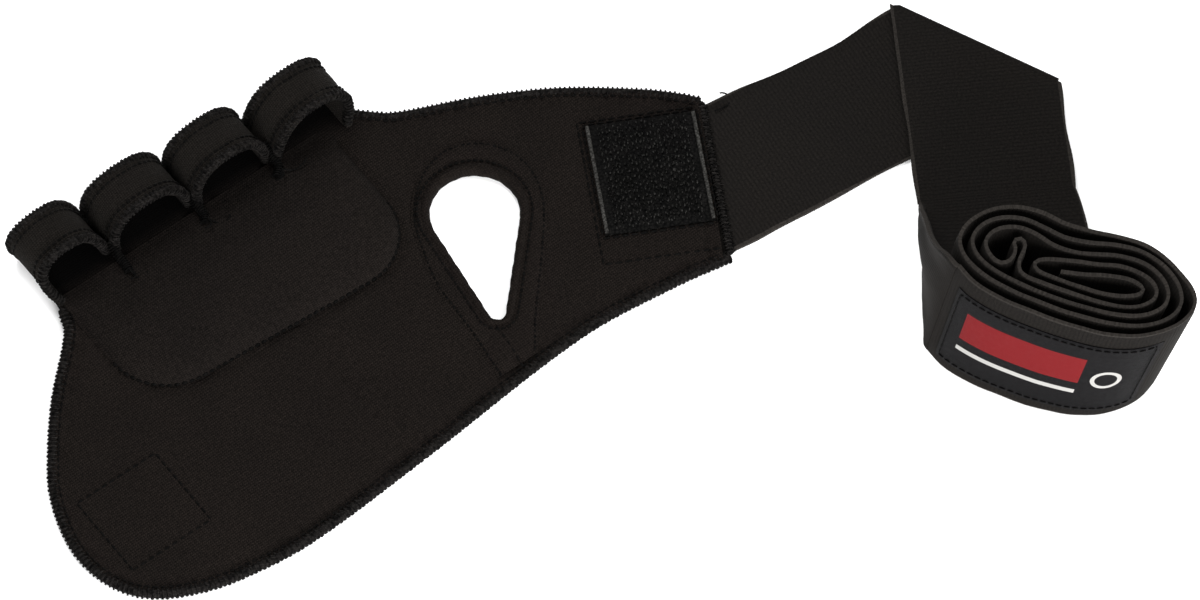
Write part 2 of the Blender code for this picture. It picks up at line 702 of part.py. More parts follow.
def make_roll():
    first_gap = 2 * GAP / ROLL_RADIUS
    end = ROLL_START + 2 * math.pi * ROLL_TURNS
    path = roll_path(ROLL_START + first_gap, end)
    roll = flat_piece("wrap_roll", [band_outline(path, WRAP_THICKNESS)], 0, WRAP_WIDTH, tidy_caps=False)
    link(roll, ELASTIC)
    label_proud = WRAP_THICKNESS / 2 + GAP + LABEL_THICKNESS / 2
    label_path = roll_path(LABEL_FROM, LABEL_TO, label_proud)
    low = (WRAP_WIDTH - LABEL_HEIGHT) / 2
    label = flat_piece("wrap_label", [band_outline(label_path, LABEL_THICKNESS)], low, low + LABEL_HEIGHT)
    link(label, LABEL_WEAVE)
    seam_proud = label_proud + LABEL_THICKNESS / 2 + GAP + STITCH_RADIUS
    seam_path = roll_path(LABEL_FROM + 0.06, LABEL_TO - 0.06, seam_proud)
    inset = 1.5 * MM
    rows = at_height(seam_path, low + inset) + at_height(seam_path[::-1], low + LABEL_HEIGHT - inset)
    thread("label_seam", rows, STITCH_RADIUS, closed=True, sides=0)


def make_hook_tab():
    """The wrap's free end carries a tab of hook tape, here inside the roll's innermost turn."""
    end = ROLL_START + 2 * math.pi * ROLL_TURNS
    last_straight = math.floor((end / math.pi - 0.5) / 2) * 2 * math.pi + math.pi / 2
    proud = -WRAP_THICKNESS / 2 - GAP - HOOK_TAB_THICKNESS / 2
    middle = (roll_point(last_straight - 1e-4, proud) + roll_point(last_straight + 1e-4, proud)) / 2
    inset = (WRAP_WIDTH - HOOK_WIDTH) / 2
    outline = rectangle(middle, heading(ROLL_HEADING), HOOK_TAB_LENGTH, HOOK_TAB_THICKNESS)
    link(flat_piece("wrap_end_hook_tab", [outline], inset, WRAP_WIDTH - inset), HOOK_TAPE)


def make_twist():
    """The wrap turns from lying flat to standing on edge on its way from the second run to the roll."""
    start_heading = heading(SECOND_RUN_HEADING)
    end = roll_point(ROLL_START)
    end_heading = (roll_point(ROLL_START + 0.05) - end).normalized()
    start = SECOND_END + start_heading * GAP
    pull = 16 * MM
    controls = [start, start + start_heading * pull, end - end_heading * pull, end]
    sections = 16
    shape = bmesh.new()
    rings = []
    for i in range(sections + 1):
        t = i / sections
        s = 1 - t
        weights = (s**3, 3 * s * s * t, 3 * s * t * t, t**3)
        centre = sum((point * weight for point, weight in zip(controls, weights)), Vector((0, 0)))
        slopes = (-3 * s * s, 3 * s * s - 6 * s * t, 6 * s * t - 3 * t * t, 3 * t * t)
        ahead = sum((point * slope for point, slope in zip(controls, slopes)), Vector((0, 0))).normalized()
        share = min(t / TWIST_DONE, 1.0)
        turn = math.pi / 2 * share * share * (3 - 2 * share)
        rising = -left_of(ahead).to_3d() * math.cos(turn) + Vector((0, 0, math.sin(turn)))
        facing = ahead.to_3d().cross(rising)
        height = (SECOND_BOTTOM + WRAP_THICKNESS / 2) * s * math.cos(turn) + WRAP_WIDTH / 2 * math.sin(turn)
        height += WRAP_THICKNESS / 2 * t * math.cos(turn)
        middle = Vector((centre.x, centre.y, height))
        a, b = rising * WRAP_WIDTH / 2, facing * WRAP_THICKNESS / 2
        rings.append([shape.verts.new(middle + corner) for corner in (a + b, a - b, -a - b, b - a)])
    for near, far in zip(rings, rings[1:]):
        for i in range(4):
            j = (i + 1) % 4
            shape.faces.new((near[i], near[j], far[j], far[i]))
    shape.faces.new(rings[0])
    shape.faces.new(rings[-1])
    bmesh.ops.recalc_face_normals(shape, faces=shape.faces)
    mesh = bpy.data.meshes.new("wrap_twist")
    shape.to_mesh(mesh)
    shape.free()
    link(bpy.data.objects.new("wrap_twist", mesh), ELASTIC)


# ---------------------------------------------------------------- the grip

make_back_panel()
make_pad()
make_crotch_seams()
for finger, left_side, right_side in finger_spans():
    make_loop(finger, left_side, right_side)
make_edging()
make_palm_flap()
make_thumb_side()
make_thumb_hole()
make_runs()
make_twist()
make_roll()
make_hook_tab()
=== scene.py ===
"""A padded hand grip laid flat with its lining up: four finger loops, a thumb hole, a hook-and-loop closure
and an elastic wrist wrap that folds over itself, twists on to its edge and ends in a standing roll."""

import math
from functools import partial

import bpy
import numpy as np
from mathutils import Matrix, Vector, noise
from mathutils.geometry import delaunay_2d_cdt


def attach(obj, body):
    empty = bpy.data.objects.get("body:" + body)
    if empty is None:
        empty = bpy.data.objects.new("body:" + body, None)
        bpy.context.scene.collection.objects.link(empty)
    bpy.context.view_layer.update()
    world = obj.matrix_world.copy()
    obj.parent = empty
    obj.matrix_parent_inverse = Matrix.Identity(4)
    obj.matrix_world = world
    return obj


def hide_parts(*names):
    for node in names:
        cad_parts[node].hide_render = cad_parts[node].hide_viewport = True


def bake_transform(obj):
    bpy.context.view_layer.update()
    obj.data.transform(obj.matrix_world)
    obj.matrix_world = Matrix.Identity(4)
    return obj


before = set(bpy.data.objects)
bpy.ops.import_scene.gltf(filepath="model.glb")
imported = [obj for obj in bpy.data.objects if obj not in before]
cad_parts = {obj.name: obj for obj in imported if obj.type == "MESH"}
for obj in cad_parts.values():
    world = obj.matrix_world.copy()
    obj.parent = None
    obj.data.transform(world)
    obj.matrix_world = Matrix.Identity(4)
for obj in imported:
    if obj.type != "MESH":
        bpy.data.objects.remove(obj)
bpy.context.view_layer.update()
MM = 0.001

# ---------------------------------------------------------------- sizes shared with the CAD solids

PANEL_TOP = 3.0 * MM
BEAD = 1.6 * MM
PALM_FOLD_X = -60.0 * MM
THUMB_FOLD = Vector((47.2, -18.5)) * MM
THUMB_LEAN = math.radians(18.3)
PANEL_END = Vector((133.8, -68.9)) * MM
END_ANGLE = math.radians(62.5)
FINGERS = (("little", 24.6 * MM), ("ring", 30.4 * MM), ("middle", 29.1 * MM), ("index", 28.3 * MM))
FINGERS_LEFT = -58.4 * MM
CROTCH_Y = 16.5 * MM
HOLE = Vector((65.6, -33.8)) * MM
HOLE_RADIUS = 14.3 * MM
HOLE_TIP = Vector((49.5, -67.3)) * MM
HOLE_TIP_RADIUS = 2.6 * MM
WRAP_WIDTH = 50.0 * MM
WRAP_THICKNESS = 1.3 * MM
WRAP_PLY = 1.7 * MM
FIRST_HEADING = math.radians(-6.0)
SECOND_HEADING = math.radians(-124.5)
FOLD_HEADING = (FIRST_HEADING + SECOND_HEADING) / 2
ROLL_HEADING = math.radians(-55.0)


def heading(angle):
    return Vector((math.cos(angle), math.sin(angle)))


def left_of(direction):
    return Vector((-direction.y, direction.x))


END_ALONG = heading(END_ANGLE)
END_OUT = -left_of(END_ALONG)
END_HALF = WRAP_WIDTH / 2 / math.cos(FIRST_HEADING - END_ANGLE + math.pi / 2) + 2 * BEAD + 0.3 * MM
THUMB_OUT = heading(-THUMB_LEAN)
SEWN_LENGTH = 36  # mm of wrap that lie on the panel's end
FOLD_DISTANCE = 95.3  # mm from there to the diagonal fold
SECOND_LENGTH = 60  # mm from the fold to the twist
FOLD_CENTRE = PANEL_END + heading(FIRST_HEADING) * FOLD_DISTANCE * MM
SECOND_END = FOLD_CENTRE + heading(SECOND_HEADING) * SECOND_LENGTH * MM
ROLL_CENTRE = SECOND_END + heading(math.radians(-98.7)) * 56.2 * MM
DRAWN_HEADING = math.radians(-120.5)  # the slack cloth of the second run strays this way
DRAWN_END = FOLD_CENTRE + heading(DRAWN_HEADING) * 56 * MM
LOOP_REAR = 21.0  # mm, where the loops' rear edges lie
LOOP_DEPTH = 16.9  # mm from there to their front edges
LOOP_FLARE = {"little": 7.5 * MM, "index": 3.5 * MM}  # how far the outer foot of an outermost loop runs back
LOOP_LEAN = {"little": -3.2 * MM, "ring": -1.3 * MM, "middle": -0.9 * MM, "index": 2.6 * MM}
STITCH_SINK = 0.1 * MM  # how far a stitch's ends dip into the cloth


# ---------------------------------------------------------------- paths


def mm(points):
    return [Vector(point) * MM for point in points]


def smooth_path(points):
    """A smooth open path through the points, with six pieces between each two."""
    path = []
    last = len(points) - 1
    for i in range(last):
        before, start, end, after = points[max(i - 1, 0)], points[i], points[i + 1], points[min(i + 2, last)]
        span = (end - start).length
        leave = start + (end - before).normalized() * span / 3
        arrive = end - (after - start).normalized() * span / 3
        for step in range(6):
            t = step / 6
            s = 1 - t
            path.append(start * s**3 + leave * 3 * s * s * t + arrive * 3 * s * t * t + end * t**3)
    return path + [points[last].copy()]


def offset_path(path, distance):
    """The path moved to its right by distance."""
    moved = []
    for i, point in enumerate(path):
        ahead = path[min(i + 1, len(path) - 1)] - path[max(i - 1, 0)]
        moved.append(point - left_of(ahead.normalized()) * distance)
    return moved


def arc(centre, radius, start, end, steps):
    return [centre + heading(start + (end - start) * i / steps) * radius for i in range(steps + 1)]


def distances_along(points):
    """How far along its path each of an array of points lies."""
    return np.concatenate(([0], np.cumsum(np.linalg.norm(np.diff(points, axis=0), axis=1))))


def even_path(path, spacing, closed=False):
    """Points along the path at an even spacing; its own corners aren't kept."""
    points = np.array([tuple(p) for p in path] + ([tuple(path[0])] if closed else []))
    lengths = distances_along(points)
    count = max(int(round(lengths[-1] / spacing)), 2)
    stations = np.linspace(0, lengths[-1], count + 1)
    if closed:
        stations = stations[:-1]
    return np.stack([np.interp(stations, lengths, points[:, k]) for k in range(points.shape[1])], axis=1)


def rounded_outline(corners, radii):
    """A counter-clockwise outline with each corner rounded to its radius."""
    outline = []
    for i, corner in enumerate(corners):
        come = (corner - corners[i - 1]).normalized()
        leave = (corners[(i + 1) % len(corners)] - corner).normalized()
        turn = -come.angle_signed(leave)
        centre = corner - come * radii[i] * math.tan(turn / 2) + left_of(come) * radii[i]
        start = math.atan2(come.y, come.x) - math.pi / 2
        outline += arc(centre, radii[i], start, start + turn, 8)
    return outline


def rectangle(centre, along, length, width):
    a, b = along * length / 2, left_of(along) * width / 2
    return [centre - a - b, centre + a - b, centre + a + b, centre - a + b]


def hole_outline(offset):
    """The thumb hole's outline, moved outwards by offset."""
    along = HOLE - HOLE_TIP
    base = math.atan2(along.y, along.x)
    spread = math.acos((HOLE_TIP_RADIUS - HOLE_RADIUS) / along.length)
    outline = arc(HOLE, HOLE_RADIUS + offset, base - spread, base + spread, 26)
    return outline + arc(HOLE_TIP, HOLE_TIP_RADIUS + offset, base + spread, base + 2 * math.pi - spread, 8)


def raised(path, height):
    return [Vector((point.x, point.y, height)) for point in path]


def end_point(out, along):
    return PANEL_END + END_OUT * out + END_ALONG * along


def upper_edge():
    shoulder = mm([(57.5, 19.5), (60.5, 16.5), (67, 11), (88, 1.5), (102, -5.7), (116.5, -14.7)])
    corner = [end_point(-16 * MM, END_HALF + 5 * MM), end_point(-5 * MM, END_HALF + 1.5 * MM)]
    return smooth_path(shoulder + corner + [end_point(1 * MM, END_HALF - 1 * MM)])


def lower_edge():
    corner = [end_point(1 * MM, -END_HALF), end_point(-18 * MM, -END_HALF - 6 * MM)]
    wrist = mm([(66, -89.8), (0, -95.4), (-46, -98.3)])
    flap = mm([(-69.4, -95.8), (-82, -92.4), (-94.7, -86), (-102.2, -78.1), (-106.4, -66.8), (-106.4, -53.6)])
    flap += mm([(-100.8, -36.4), (-91.9, -23), (-79.7, -8.3), (-62.6, 8.6), (-60.1, 15.5)])
    return smooth_path(corner + wrist + flap)


def loop_y(x, y_at_origin):
    return y_at_origin - 0.06 * x


def finger_spans():
    """Each finger's name with the X of its loop's two sides."""
    spans = []
    left = FINGERS_LEFT
    for name, width in FINGERS:
        spans.append((name, left, left + width))
        left += width
    return spans


# ---------------------------------------------------------------- mesh builders


def mesh_object(name, points, faces, uv=None):
    """A new object from arrays, with an optional UV for each point, smooth except at sharp corners."""
    data = bpy.data.meshes.new(name)
    data.from_pydata([tuple(map(float, p)) for p in points], [], [tuple(map(int, f)) for f in faces])
    if uv is not None:
        layer = data.uv_layers.new(name="UVMap")
        corners = np.empty(len(data.loops), np.int32)
        data.loops.foreach_get("vertex_index", corners)
        layer.data.foreach_set("uv", np.asarray(uv, np.float32)[corners].ravel())
    obj = bpy.data.objects.new(name, data)
    bpy.context.scene.collection.objects.link(obj)
    bpy.ops.object.select_all(action="DESELECT")
    obj.select_set(True)
    bpy.context.view_layer.objects.active = obj
    bpy.ops.object.shade_smooth_by_angle(angle=math.radians(50))
    obj.select_set(False)
    return obj


def ripple(x, y, size, seed=0.0):
    """Soft noise from -1 to 1 whose lumps are about size across."""
    return noise.noise(Vector((x / size, y / size, seed)))


def each_side(outline):
    """The two ends of each side of a closed outline."""
    corners = np.array([(p[0], p[1]) for p in outline])
    return zip(corners, np.roll(corners, -1, axis=0))


def edge_distance(points, outlines):
    """Each point's distance to the nearest of the closed outlines."""
    nearest = np.full(len(points), 1e9)
    for outline in outlines:
        for start, end in each_side(outline):
            run = end - start
            t = np.clip(((points - start) @ run) / max(run @ run, 1e-18), 0, 1)
            nearest = np.minimum(nearest, np.linalg.norm(points - start - t[:, None] * run, axis=1))
    return nearest


def inside(points, outline):
    """Which of the points lie inside a closed outline."""
    within = np.zeros(len(points), bool)
    for start, end in each_side(outline):
        crosses = (start[1] > points[:, 1]) != (end[1] > points[:, 1])
        rise = end[1] - start[1] if abs(end[1] - start[1]) > 1e-12 else 1e-12
        at = start[0] + (points[:, 1] - start[1]) * (end[0] - start[0]) / rise
        within ^= crosses & (points[:, 0] < at)
    return within


def extent(outline):
    """An outline's size in X and in Y."""
    xs, ys = [p.x for p in outline], [p.y for p in outline]
    return max(xs) - min(xs), max(ys) - min(ys)


def outline_area(outline):
    return abs(sum(a.x * b.y - b.x * a.y for a, b in zip(outline, outline[1:] + outline[:1]))) / 2


def side_of(outline, keep_left):
    """The part of a closed outline on one side of the middle line X = 0."""
    sign = -1 if keep_left else 1
    kept = []
    for i, point in enumerate(outline):
        after = outline[(i + 1) % len(outline)]
        if point.x * sign >= 0:
            kept.append(point)
        if point.x * after.x < 0:
            kept.append(point + (after - point) * (point.x / (point.x - after.x)))
    return kept


def subdivided(outline, spacing):
    """The outline with its long sides cut into even pieces."""
    points = []
    for i, point in enumerate(outline):
        after = outline[(i + 1) % len(outline)]
        count = max(int(math.ceil((after - point).length / spacing)), 1)
        points += [point + (after - point) * j / count for j in range(count)]
    return points


def flat_at(height):
    """A level top or bottom for a sheet."""
    return lambda points, distance: np.full(len(points), height)


def cloth_plate(name, outline, holes, spacing, top, bottom, uv=None):
    """A closed sheet over an outline less its holes. top and bottom give heights from (points, edge distance)."""
    rings = [subdivided(ring, spacing) for ring in [outline, *holes]]
    points, edges = [], []
    for ring in rings:
        first = len(points)
        points += [Vector((p.x, p.y)) for p in ring]
        edges += [(first + i, first + (i + 1) % len(ring)) for i in range(len(ring))]
    border = np.array([tuple(p) for p in points])
    low, high = border.min(axis=0), border.max(axis=0)
    inner = []
    for row, y in enumerate(np.arange(low[1] + spacing / 2, high[1], spacing * 0.87), start=1):
        inner += [(x, y) for x in np.arange(low[0] + (row % 2) * spacing / 2, high[0], spacing)]
    inner = np.array(inner)
    inner = inner[edge_distance(inner, rings) > spacing * 0.55]
    points += [Vector(p) for p in inner]
    flat, _, faces, *_ = delaunay_2d_cdt(points, edges, [], 1, 1e-7)
    flat = np.array([tuple(p) for p in flat])
    middles = np.array([flat[list(face)].mean(axis=0) for face in faces])
    kept = inside(middles, rings[0])
    for ring in rings[1:]:
        kept &= ~inside(middles, ring)
    faces = [tuple(face) for face, keep in zip(faces, kept) if keep]
    distance = edge_distance(flat, rings)
    count = len(flat)
    upper = np.column_stack([flat, top(flat, distance)])
    lower = np.column_stack([flat, bottom(flat, distance)])
    used = dict.fromkeys(pair for face in faces for pair in zip(face, (*face[1:], face[0])))
    walls = [(b, a, a + count, b + count) for a, b in used if (b, a) not in used]
    shell = faces + [tuple(i + count for i in face[::-1]) for face in faces]
    coords = None if uv is None else np.tile(uv(flat), (2, 1))
    return mesh_object(name, np.vstack([upper, lower]), shell + walls, coords)


def path_frames(points, closed=False):
    """Unit tangents along an array of points, with a sideways and an upward unit vector at each."""
    if closed:
        tangent = np.roll(points, -1, axis=0) - np.roll(points, 1, axis=0)
    else:
        tangent = np.gradient(points, axis=0)
    tangent /= np.linalg.norm(tangent, axis=1)[:, None]
    up = np.zeros_like(tangent)
    up[:, 2] = 1
    steep = np.abs(tangent[:, 2]) > 0.98
    up[steep] = (0, 1, 0)
    side = np.cross(tangent, up)
    side /= np.linalg.norm(side, axis=1)[:, None]
    return tangent, side, np.cross(side, tangent)


def ring_faces(count, around, closed=False, first=0):
    """The faces of a skin of rings with so many points around each, capped at its ends unless it's closed."""
    faces = []
    for i in range(count if closed else count - 1):
        a, b = first + i * around, first + (i + 1) % count * around
        for k in range(around):
            m = (k + 1) % around
            faces.append((a + k, a + m, b + m, b + k))
    if not closed:
        faces.append(tuple(range(first, first + around))[::-1])
        faces.append(tuple(range(first + (count - 1) * around, first + count * around)))
    return faces


def tube(name, points, radius, sides=10, closed=False, flatten=1.0, swell=None):
    """A tube round a path. swell gives each ring's radius as a factor of radius."""
    points = np.asarray([tuple(p) for p in points], float)
    _, side, up = path_frames(points, closed)
    count = len(points)
    factor = np.ones(count) if swell is None else np.array([swell(i / count) for i in range(count)])
    turn = np.arange(sides) / sides * 2 * math.pi
    ring = side[:, None] * np.cos(turn)[None, :, None] + up[:, None] * np.sin(turn)[None, :, None] * flatten
    skin = (points[:, None] + ring * (radius * factor)[:, None, None]).reshape(-1, 3)
    run = distances_along(points)
    uv = np.column_stack([np.repeat(run, sides), np.tile(turn * radius, count)])
    return mesh_object(name, skin, [face[::-1] for face in ring_faces(count, sides, closed)], uv)


def joined(name, parts):
    """Several objects made one."""
    bpy.ops.object.select_all(action="DESELECT")
    for part in parts:
        part.select_set(True)
    bpy.context.view_layer.objects.active = parts[0]
    bpy.ops.object.join()
    whole = bpy.context.view_layer.objects.active
    whole.name = name
    whole.data.name = name
    whole.select_set(False)
    return whole


def overlocked_edge(name, path, radius, pitch=1.5 * MM, thread=0.36 * MM):
    """An overlocked edge: a soft core wound closely with looping thread."""
    core = even_path(path, 2.5 * MM)
    fine = even_path(path, pitch / 10)
    _, side, up = path_frames(fine)
    turn = np.arange(len(fine)) / 10 * 2 * math.pi
    reach = radius * (0.97 + 0.05 * np.sin(turn * 0.37))
    wound = fine + (side * np.cos(turn)[:, None] + up * np.sin(turn)[:, None]) * reach[:, None]
    lean = np.gradient(fine, axis=0)
    lean /= np.linalg.norm(lean, axis=1)[:, None]
    wound += lean * (np.cos(turn) * 0.35 * MM)[:, None]
    bead = tube(name, core, radius * 0.86)
    return joined(name, [bead, tube(name + "_winding", wound, thread, 5)])


def stitch_row(name, path, length, gap, radius, closed=False):
    """A row of separate stitches that lie along a path and dip into the cloth at their ends."""
    stations = even_path(path, length + gap, closed)
    fine = even_path(path, (length + gap) / 4, closed)
    _, side, up = path_frames(fine, closed)
    shape = np.array([(0, 0.45), (0.3, 1.0), (0.7, 1.0), (1.0, 0.45)])
    turn = np.arange(6) / 6 * 2 * math.pi
    points, faces = [], []
    total = len(stations) if closed else len(stations) - 1
    for n in range(total):
        i = min(n * 4, len(fine) - 1)
        j = (i + 3) % len(fine) if closed else min(i + 3, len(fine) - 1)
        start, end = fine[i], fine[j]
        first = len(points)
        for t, size in shape:
            centre = start + (end - start) * t - up[i] * STITCH_SINK * (1 if size < 1 else 0)
            for a in turn:
                points.append(centre + (side[i] * math.cos(a) + up[i] * math.sin(a) * 0.8) * radius * size)
        faces += [face[::-1] for face in ring_faces(len(shape), len(turn), first=first)]
    return mesh_object(name, points, faces)


def ribbon(name, centres, across, facing, width, thickness, steps):
    """A length of wrap through centres. across and facing are unit vectors along its width and its thickness."""
    centres, across, facing = (np.asarray([tuple(v) for v in group], float) for group in (centres, across, facing))
    share = np.linspace(-0.5, 0.5, steps + 1)
    half = thickness / 2 * (1 + 0.15 * (np.abs(share) > 0.44))
    half[0] = half[-1] = thickness * 0.3
    section = [(s, h) for s, h in zip(share, half)] + [(s, -h) for s, h in zip(share[::-1], half[::-1])]
    around = len(section)
    count = len(centres)
    rows = [centres + across * (s * width) + facing * h for s, h in section]
    points = np.stack(rows, axis=1).reshape(-1, 3)
    run = distances_along(centres)
    uv = np.column_stack([np.repeat(run, around), np.tile([s * width for s, _ in section], count)])
    made = mesh_object(name, points, ring_faces(count, around), uv)
    data = made.data
    if sum(face.normal.dot(Vector(facing[0])) > 0.5 for face in data.polygons[:steps]) < steps / 2:
        data.flip_normals()
    return made


# ---------------------------------------------------------------- finishes


def add_node(tree, kind, inputs, **settings):
    """Adds a shader node, feeds its inputs with numbers, colours or sockets, and gives its outputs."""
    node = tree.nodes.new("ShaderNode" + kind)
    for name, value in settings.items():
        setattr(node, name, value)
    for key, value in inputs.items():
        if isinstance(value, (int, float)):
            node.inputs[key].default_value = value
        elif isinstance(value, tuple):
            node.inputs[key].default_value = (*value, 1)
        else:
            tree.links.new(value, node.inputs[key])
    return node.outputs


def math_node(tree, operation, *values, clamp=False):
    return add_node(tree, "Math", dict(enumerate(values)), operation=operation, use_clamp=clamp)[0]


def noise_node(tree, vector, scale, detail=2.0, roughness=0.55):
    inputs = {"Vector": vector, "Scale": scale, "Detail": detail, "Roughness": roughness}
    return add_node(tree, "TexNoise", inputs)["Fac"]


def split(tree, vector):
    return add_node(tree, "SeparateXYZ", {0: vector})


def ridges(tree, value):
    """Rounded ridges, one to each whole number of value."""
    return math_node(tree, "ABSOLUTE", math_node(tree, "SINE", math_node(tree, "MULTIPLY", value, math.pi)))


def new_group(name, numbers, results):
    """A shader group that takes a vector and some numbers: its tree and the sockets inside it."""
    tree = bpy.data.node_groups.new(name, "ShaderNodeTree")
    tree.interface.new_socket(name="Vector", in_out="INPUT", socket_type="NodeSocketVector")
    for label, value in numbers.items():
        socket = tree.interface.new_socket(name=label, in_out="INPUT", socket_type="NodeSocketFloat")
        socket.default_value = value
    for label in results:
        tree.interface.new_socket(name=label, in_out="OUTPUT", socket_type="NodeSocketFloat")
    return tree, tree.nodes.new("NodeGroupInput").outputs[:len(numbers) + 1]


def close_group(tree, values):
    sink = tree.nodes.new("NodeGroupOutput")
    for socket, value in zip(sink.inputs, values):
        tree.links.new(value, socket)
    return tree


def knit_group():
    """Rows of knitted loops with fuzz: gives a height, a fibre mask and a wear mask."""
    numbers = {"Loops per metre": 1100.0, "Fuzz": 0.4}
    tree, (vector, loops, fuzz) = new_group("Knit surface", numbers, ("Height", "Fibre", "Wear"))
    calc = partial(math_node, tree)
    parts = split(tree, vector)
    x = calc("MULTIPLY", parts[0], loops)
    y = calc("MULTIPLY", calc("ADD", parts[1], parts[2]), loops)
    course = ridges(tree, calc("ADD", y, calc("PINGPONG", x, 0.5)))
    stitch = calc("MULTIPLY", course, calc("POWER", ridges(tree, x), 0.5))
    fibre = noise_node(tree, vector, 5200.0)
    height = calc("ADD", stitch, calc("MULTIPLY", fibre, fuzz))
    return close_group(tree, (height, fibre, noise_node(tree, vector, 38.0, 4.0, 0.6)))


def rib_group():
    """Cross ribs over a fine warp, on a surface map in metres: gives a height, a rib mask and a wear mask."""
    numbers = {"Ribs per metre": 760.0, "Warps per metre": 1150.0}
    tree, (vector, ribs, warps) = new_group("Elastic ribs", numbers, ("Height", "Rib", "Wear"))
    calc = partial(math_node, tree)
    parts = split(tree, vector)
    drift = calc("MULTIPLY", noise_node(tree, vector, 160.0), 0.5)
    along = calc("ADD", calc("MULTIPLY", parts[0], ribs), drift)
    rib = ridges(tree, along)
    step = calc("MULTIPLY", calc("FLOOR", along), 0.5)
    warp = ridges(tree, calc("ADD", calc("MULTIPLY", parts[1], warps), step))
    height = calc("ADD", calc("POWER", rib, 0.6), calc("MULTIPLY", warp, 0.35))
    height = calc("ADD", height, calc("MULTIPLY", noise_node(tree, vector, 4200.0), 0.3))
    return close_group(tree, (height, rib, noise_node(tree, vector, 30.0, 4.0, 0.6)))


KNIT = knit_group()
RIBS = rib_group()


def grey(value):
    return (value, value, value)


class Finish:
    """A material with a Principled shader, and the few nodes every finish here needs."""

    def __init__(self, name, roughness, sheen=0.0, sheen_tint=(1, 1, 1), specular=0.025):
        self.material = bpy.data.materials.new(name)
        self.material.use_nodes = True
        self.tree = self.material.node_tree
        self.inputs = self.tree.nodes["Principled BSDF"].inputs
        self.inputs["Roughness"].default_value = roughness
        self.inputs["Specular IOR Level"].default_value = specular
        self.inputs["Sheen Weight"].default_value = sheen
        self.inputs["Sheen Roughness"].default_value = 0.45
        self.inputs["Sheen Tint"].default_value = (*sheen_tint, 1)
        self.coords = self.tree.nodes.new("ShaderNodeTexCoord").outputs
        self.calc = partial(math_node, self.tree)

    def noise(self, kind, *settings):
        return noise_node(self.tree, self.coords[kind], *settings)

    def group(self, tree, kind, numbers):
        return add_node(self.tree, "Group", {"Vector": self.coords[kind], **numbers}, node_tree=tree)

    def ramp(self, value, low, high):
        """A colour that runs from one stop to another. A stop is a position and a colour."""
        node = self.tree.nodes.new("ShaderNodeValToRGB")
        self.tree.links.new(value, node.inputs["Fac"])
        for element, (position, colour) in zip(node.color_ramp.elements, (low, high)):
            element.position = position
            element.color = (*colour, 1)
        return node.outputs["Color"]

    def mix(self, factor, a, b, blend="MIX"):
        return add_node(self.tree, "Mix", {0: factor, 6: a, 7: b}, data_type="RGBA", blend_type=blend)[2]

    def times(self, a, b):
        return self.mix(1.0, a, b, "MULTIPLY")

    def finished(self, colour, rough_by, low, high, height, depth):
        """Links the colour, the roughness between two limits and the bump, and gives the material."""
        self.tree.links.new(colour, self.inputs["Base Color"])
        rough = add_node(self.tree, "MapRange", {"Value": rough_by, "To Min": low, "To Max": high})
        self.tree.links.new(rough[0], self.inputs["Roughness"])
        bump = add_node(self.tree, "Bump", {"Height": height, "Distance": depth, "Strength": 1.0})
        self.tree.links.new(bump[0], self.inputs["Normal"])
        return self.material


def knit_finish(name, deep, pale, loops, fuzz, kind="Object", dark_from=None):
    """Knitted cloth. It is darker beyond dark_from in Y, where the finger loops shade it."""
    finish = Finish(name, 0.85, 0.008, (1.0, 0.95, 0.9))
    height, fibre, wear = finish.group(KNIT, kind, {"Loops per metre": loops, "Fuzz": fuzz})
    cloth = finish.ramp(height, (0.15, deep), (1.1, pale))
    grain = finish.ramp(finish.noise(kind, 1000.0, 2.0, 0.7), (0.3, grey(0.5)), (0.7, grey(1.2)))
    colour = finish.times(finish.times(cloth, grain), finish.mix(wear, grey(0.7), (1.3, 1.26, 1.2)))
    if dark_from is not None:
        past = finish.calc("SUBTRACT", split(finish.tree, finish.coords["Object"])[1], dark_from)
        colour = finish.mix(finish.calc("MULTIPLY", past, 1 / (9 * MM), clamp=True), colour, (0.0004, 0.0003, 0.0003))
    return finish.finished(colour, fibre, 0.75, 0.95, height, 0.2 * MM)


def elastic_finish():
    """Ribbed elastic with paler selvedges, on a surface map in metres whose middle line is at nought."""
    finish = Finish("Ribbed elastic", 0.8, 0.01, (1.0, 0.93, 0.86), 0.04)
    height, rib, wear = finish.group(RIBS, "UV", {})
    cloth = finish.ramp(rib, (0.0, (0.0028, 0.0024, 0.0022)), (0.9, (0.0042, 0.0037, 0.0033)))
    off_centre = finish.calc("ABSOLUTE", split(finish.tree, finish.coords["UV"])[1])
    selvedge = finish.calc("GREATER_THAN", off_centre, WRAP_WIDTH / 2 - 0.95 * MM)
    cloth = finish.mix(selvedge, cloth, (0.0120, 0.0108, 0.0098))
    grain = finish.ramp(finish.noise("UV", 1300.0, 2.0, 0.7), (0.3, grey(0.55)), (0.7, grey(1.5)))
    colour = finish.times(finish.times(cloth, grain), finish.mix(wear, grey(0.75), (1.3, 1.25, 1.2)))
    return finish.finished(colour, wear, 0.7, 0.9, height, 0.07 * MM)


def thread_finish(name, deep, pale):
    """Twisted thread: fine slanting strands."""
    finish = Finish(name, 0.6, 0.01)
    inputs = {"Scale": 900.0, "Distortion": 2.0, "Vector": finish.coords["Object"]}
    strands = add_node(finish.tree, "TexWave", inputs, wave_type="BANDS", bands_direction="DIAGONAL")["Fac"]
    lint = finish.ramp(finish.noise("Object", 700.0, 3.0, 0.7), (0.38, grey(0.12)), (0.62, grey(1.4)))
    colour = finish.times(finish.ramp(strands, (0.1, deep), (0.9, pale)), lint)
    return finish.finished(colour, strands, 0.55, 0.75, strands, 0.06 * MM)


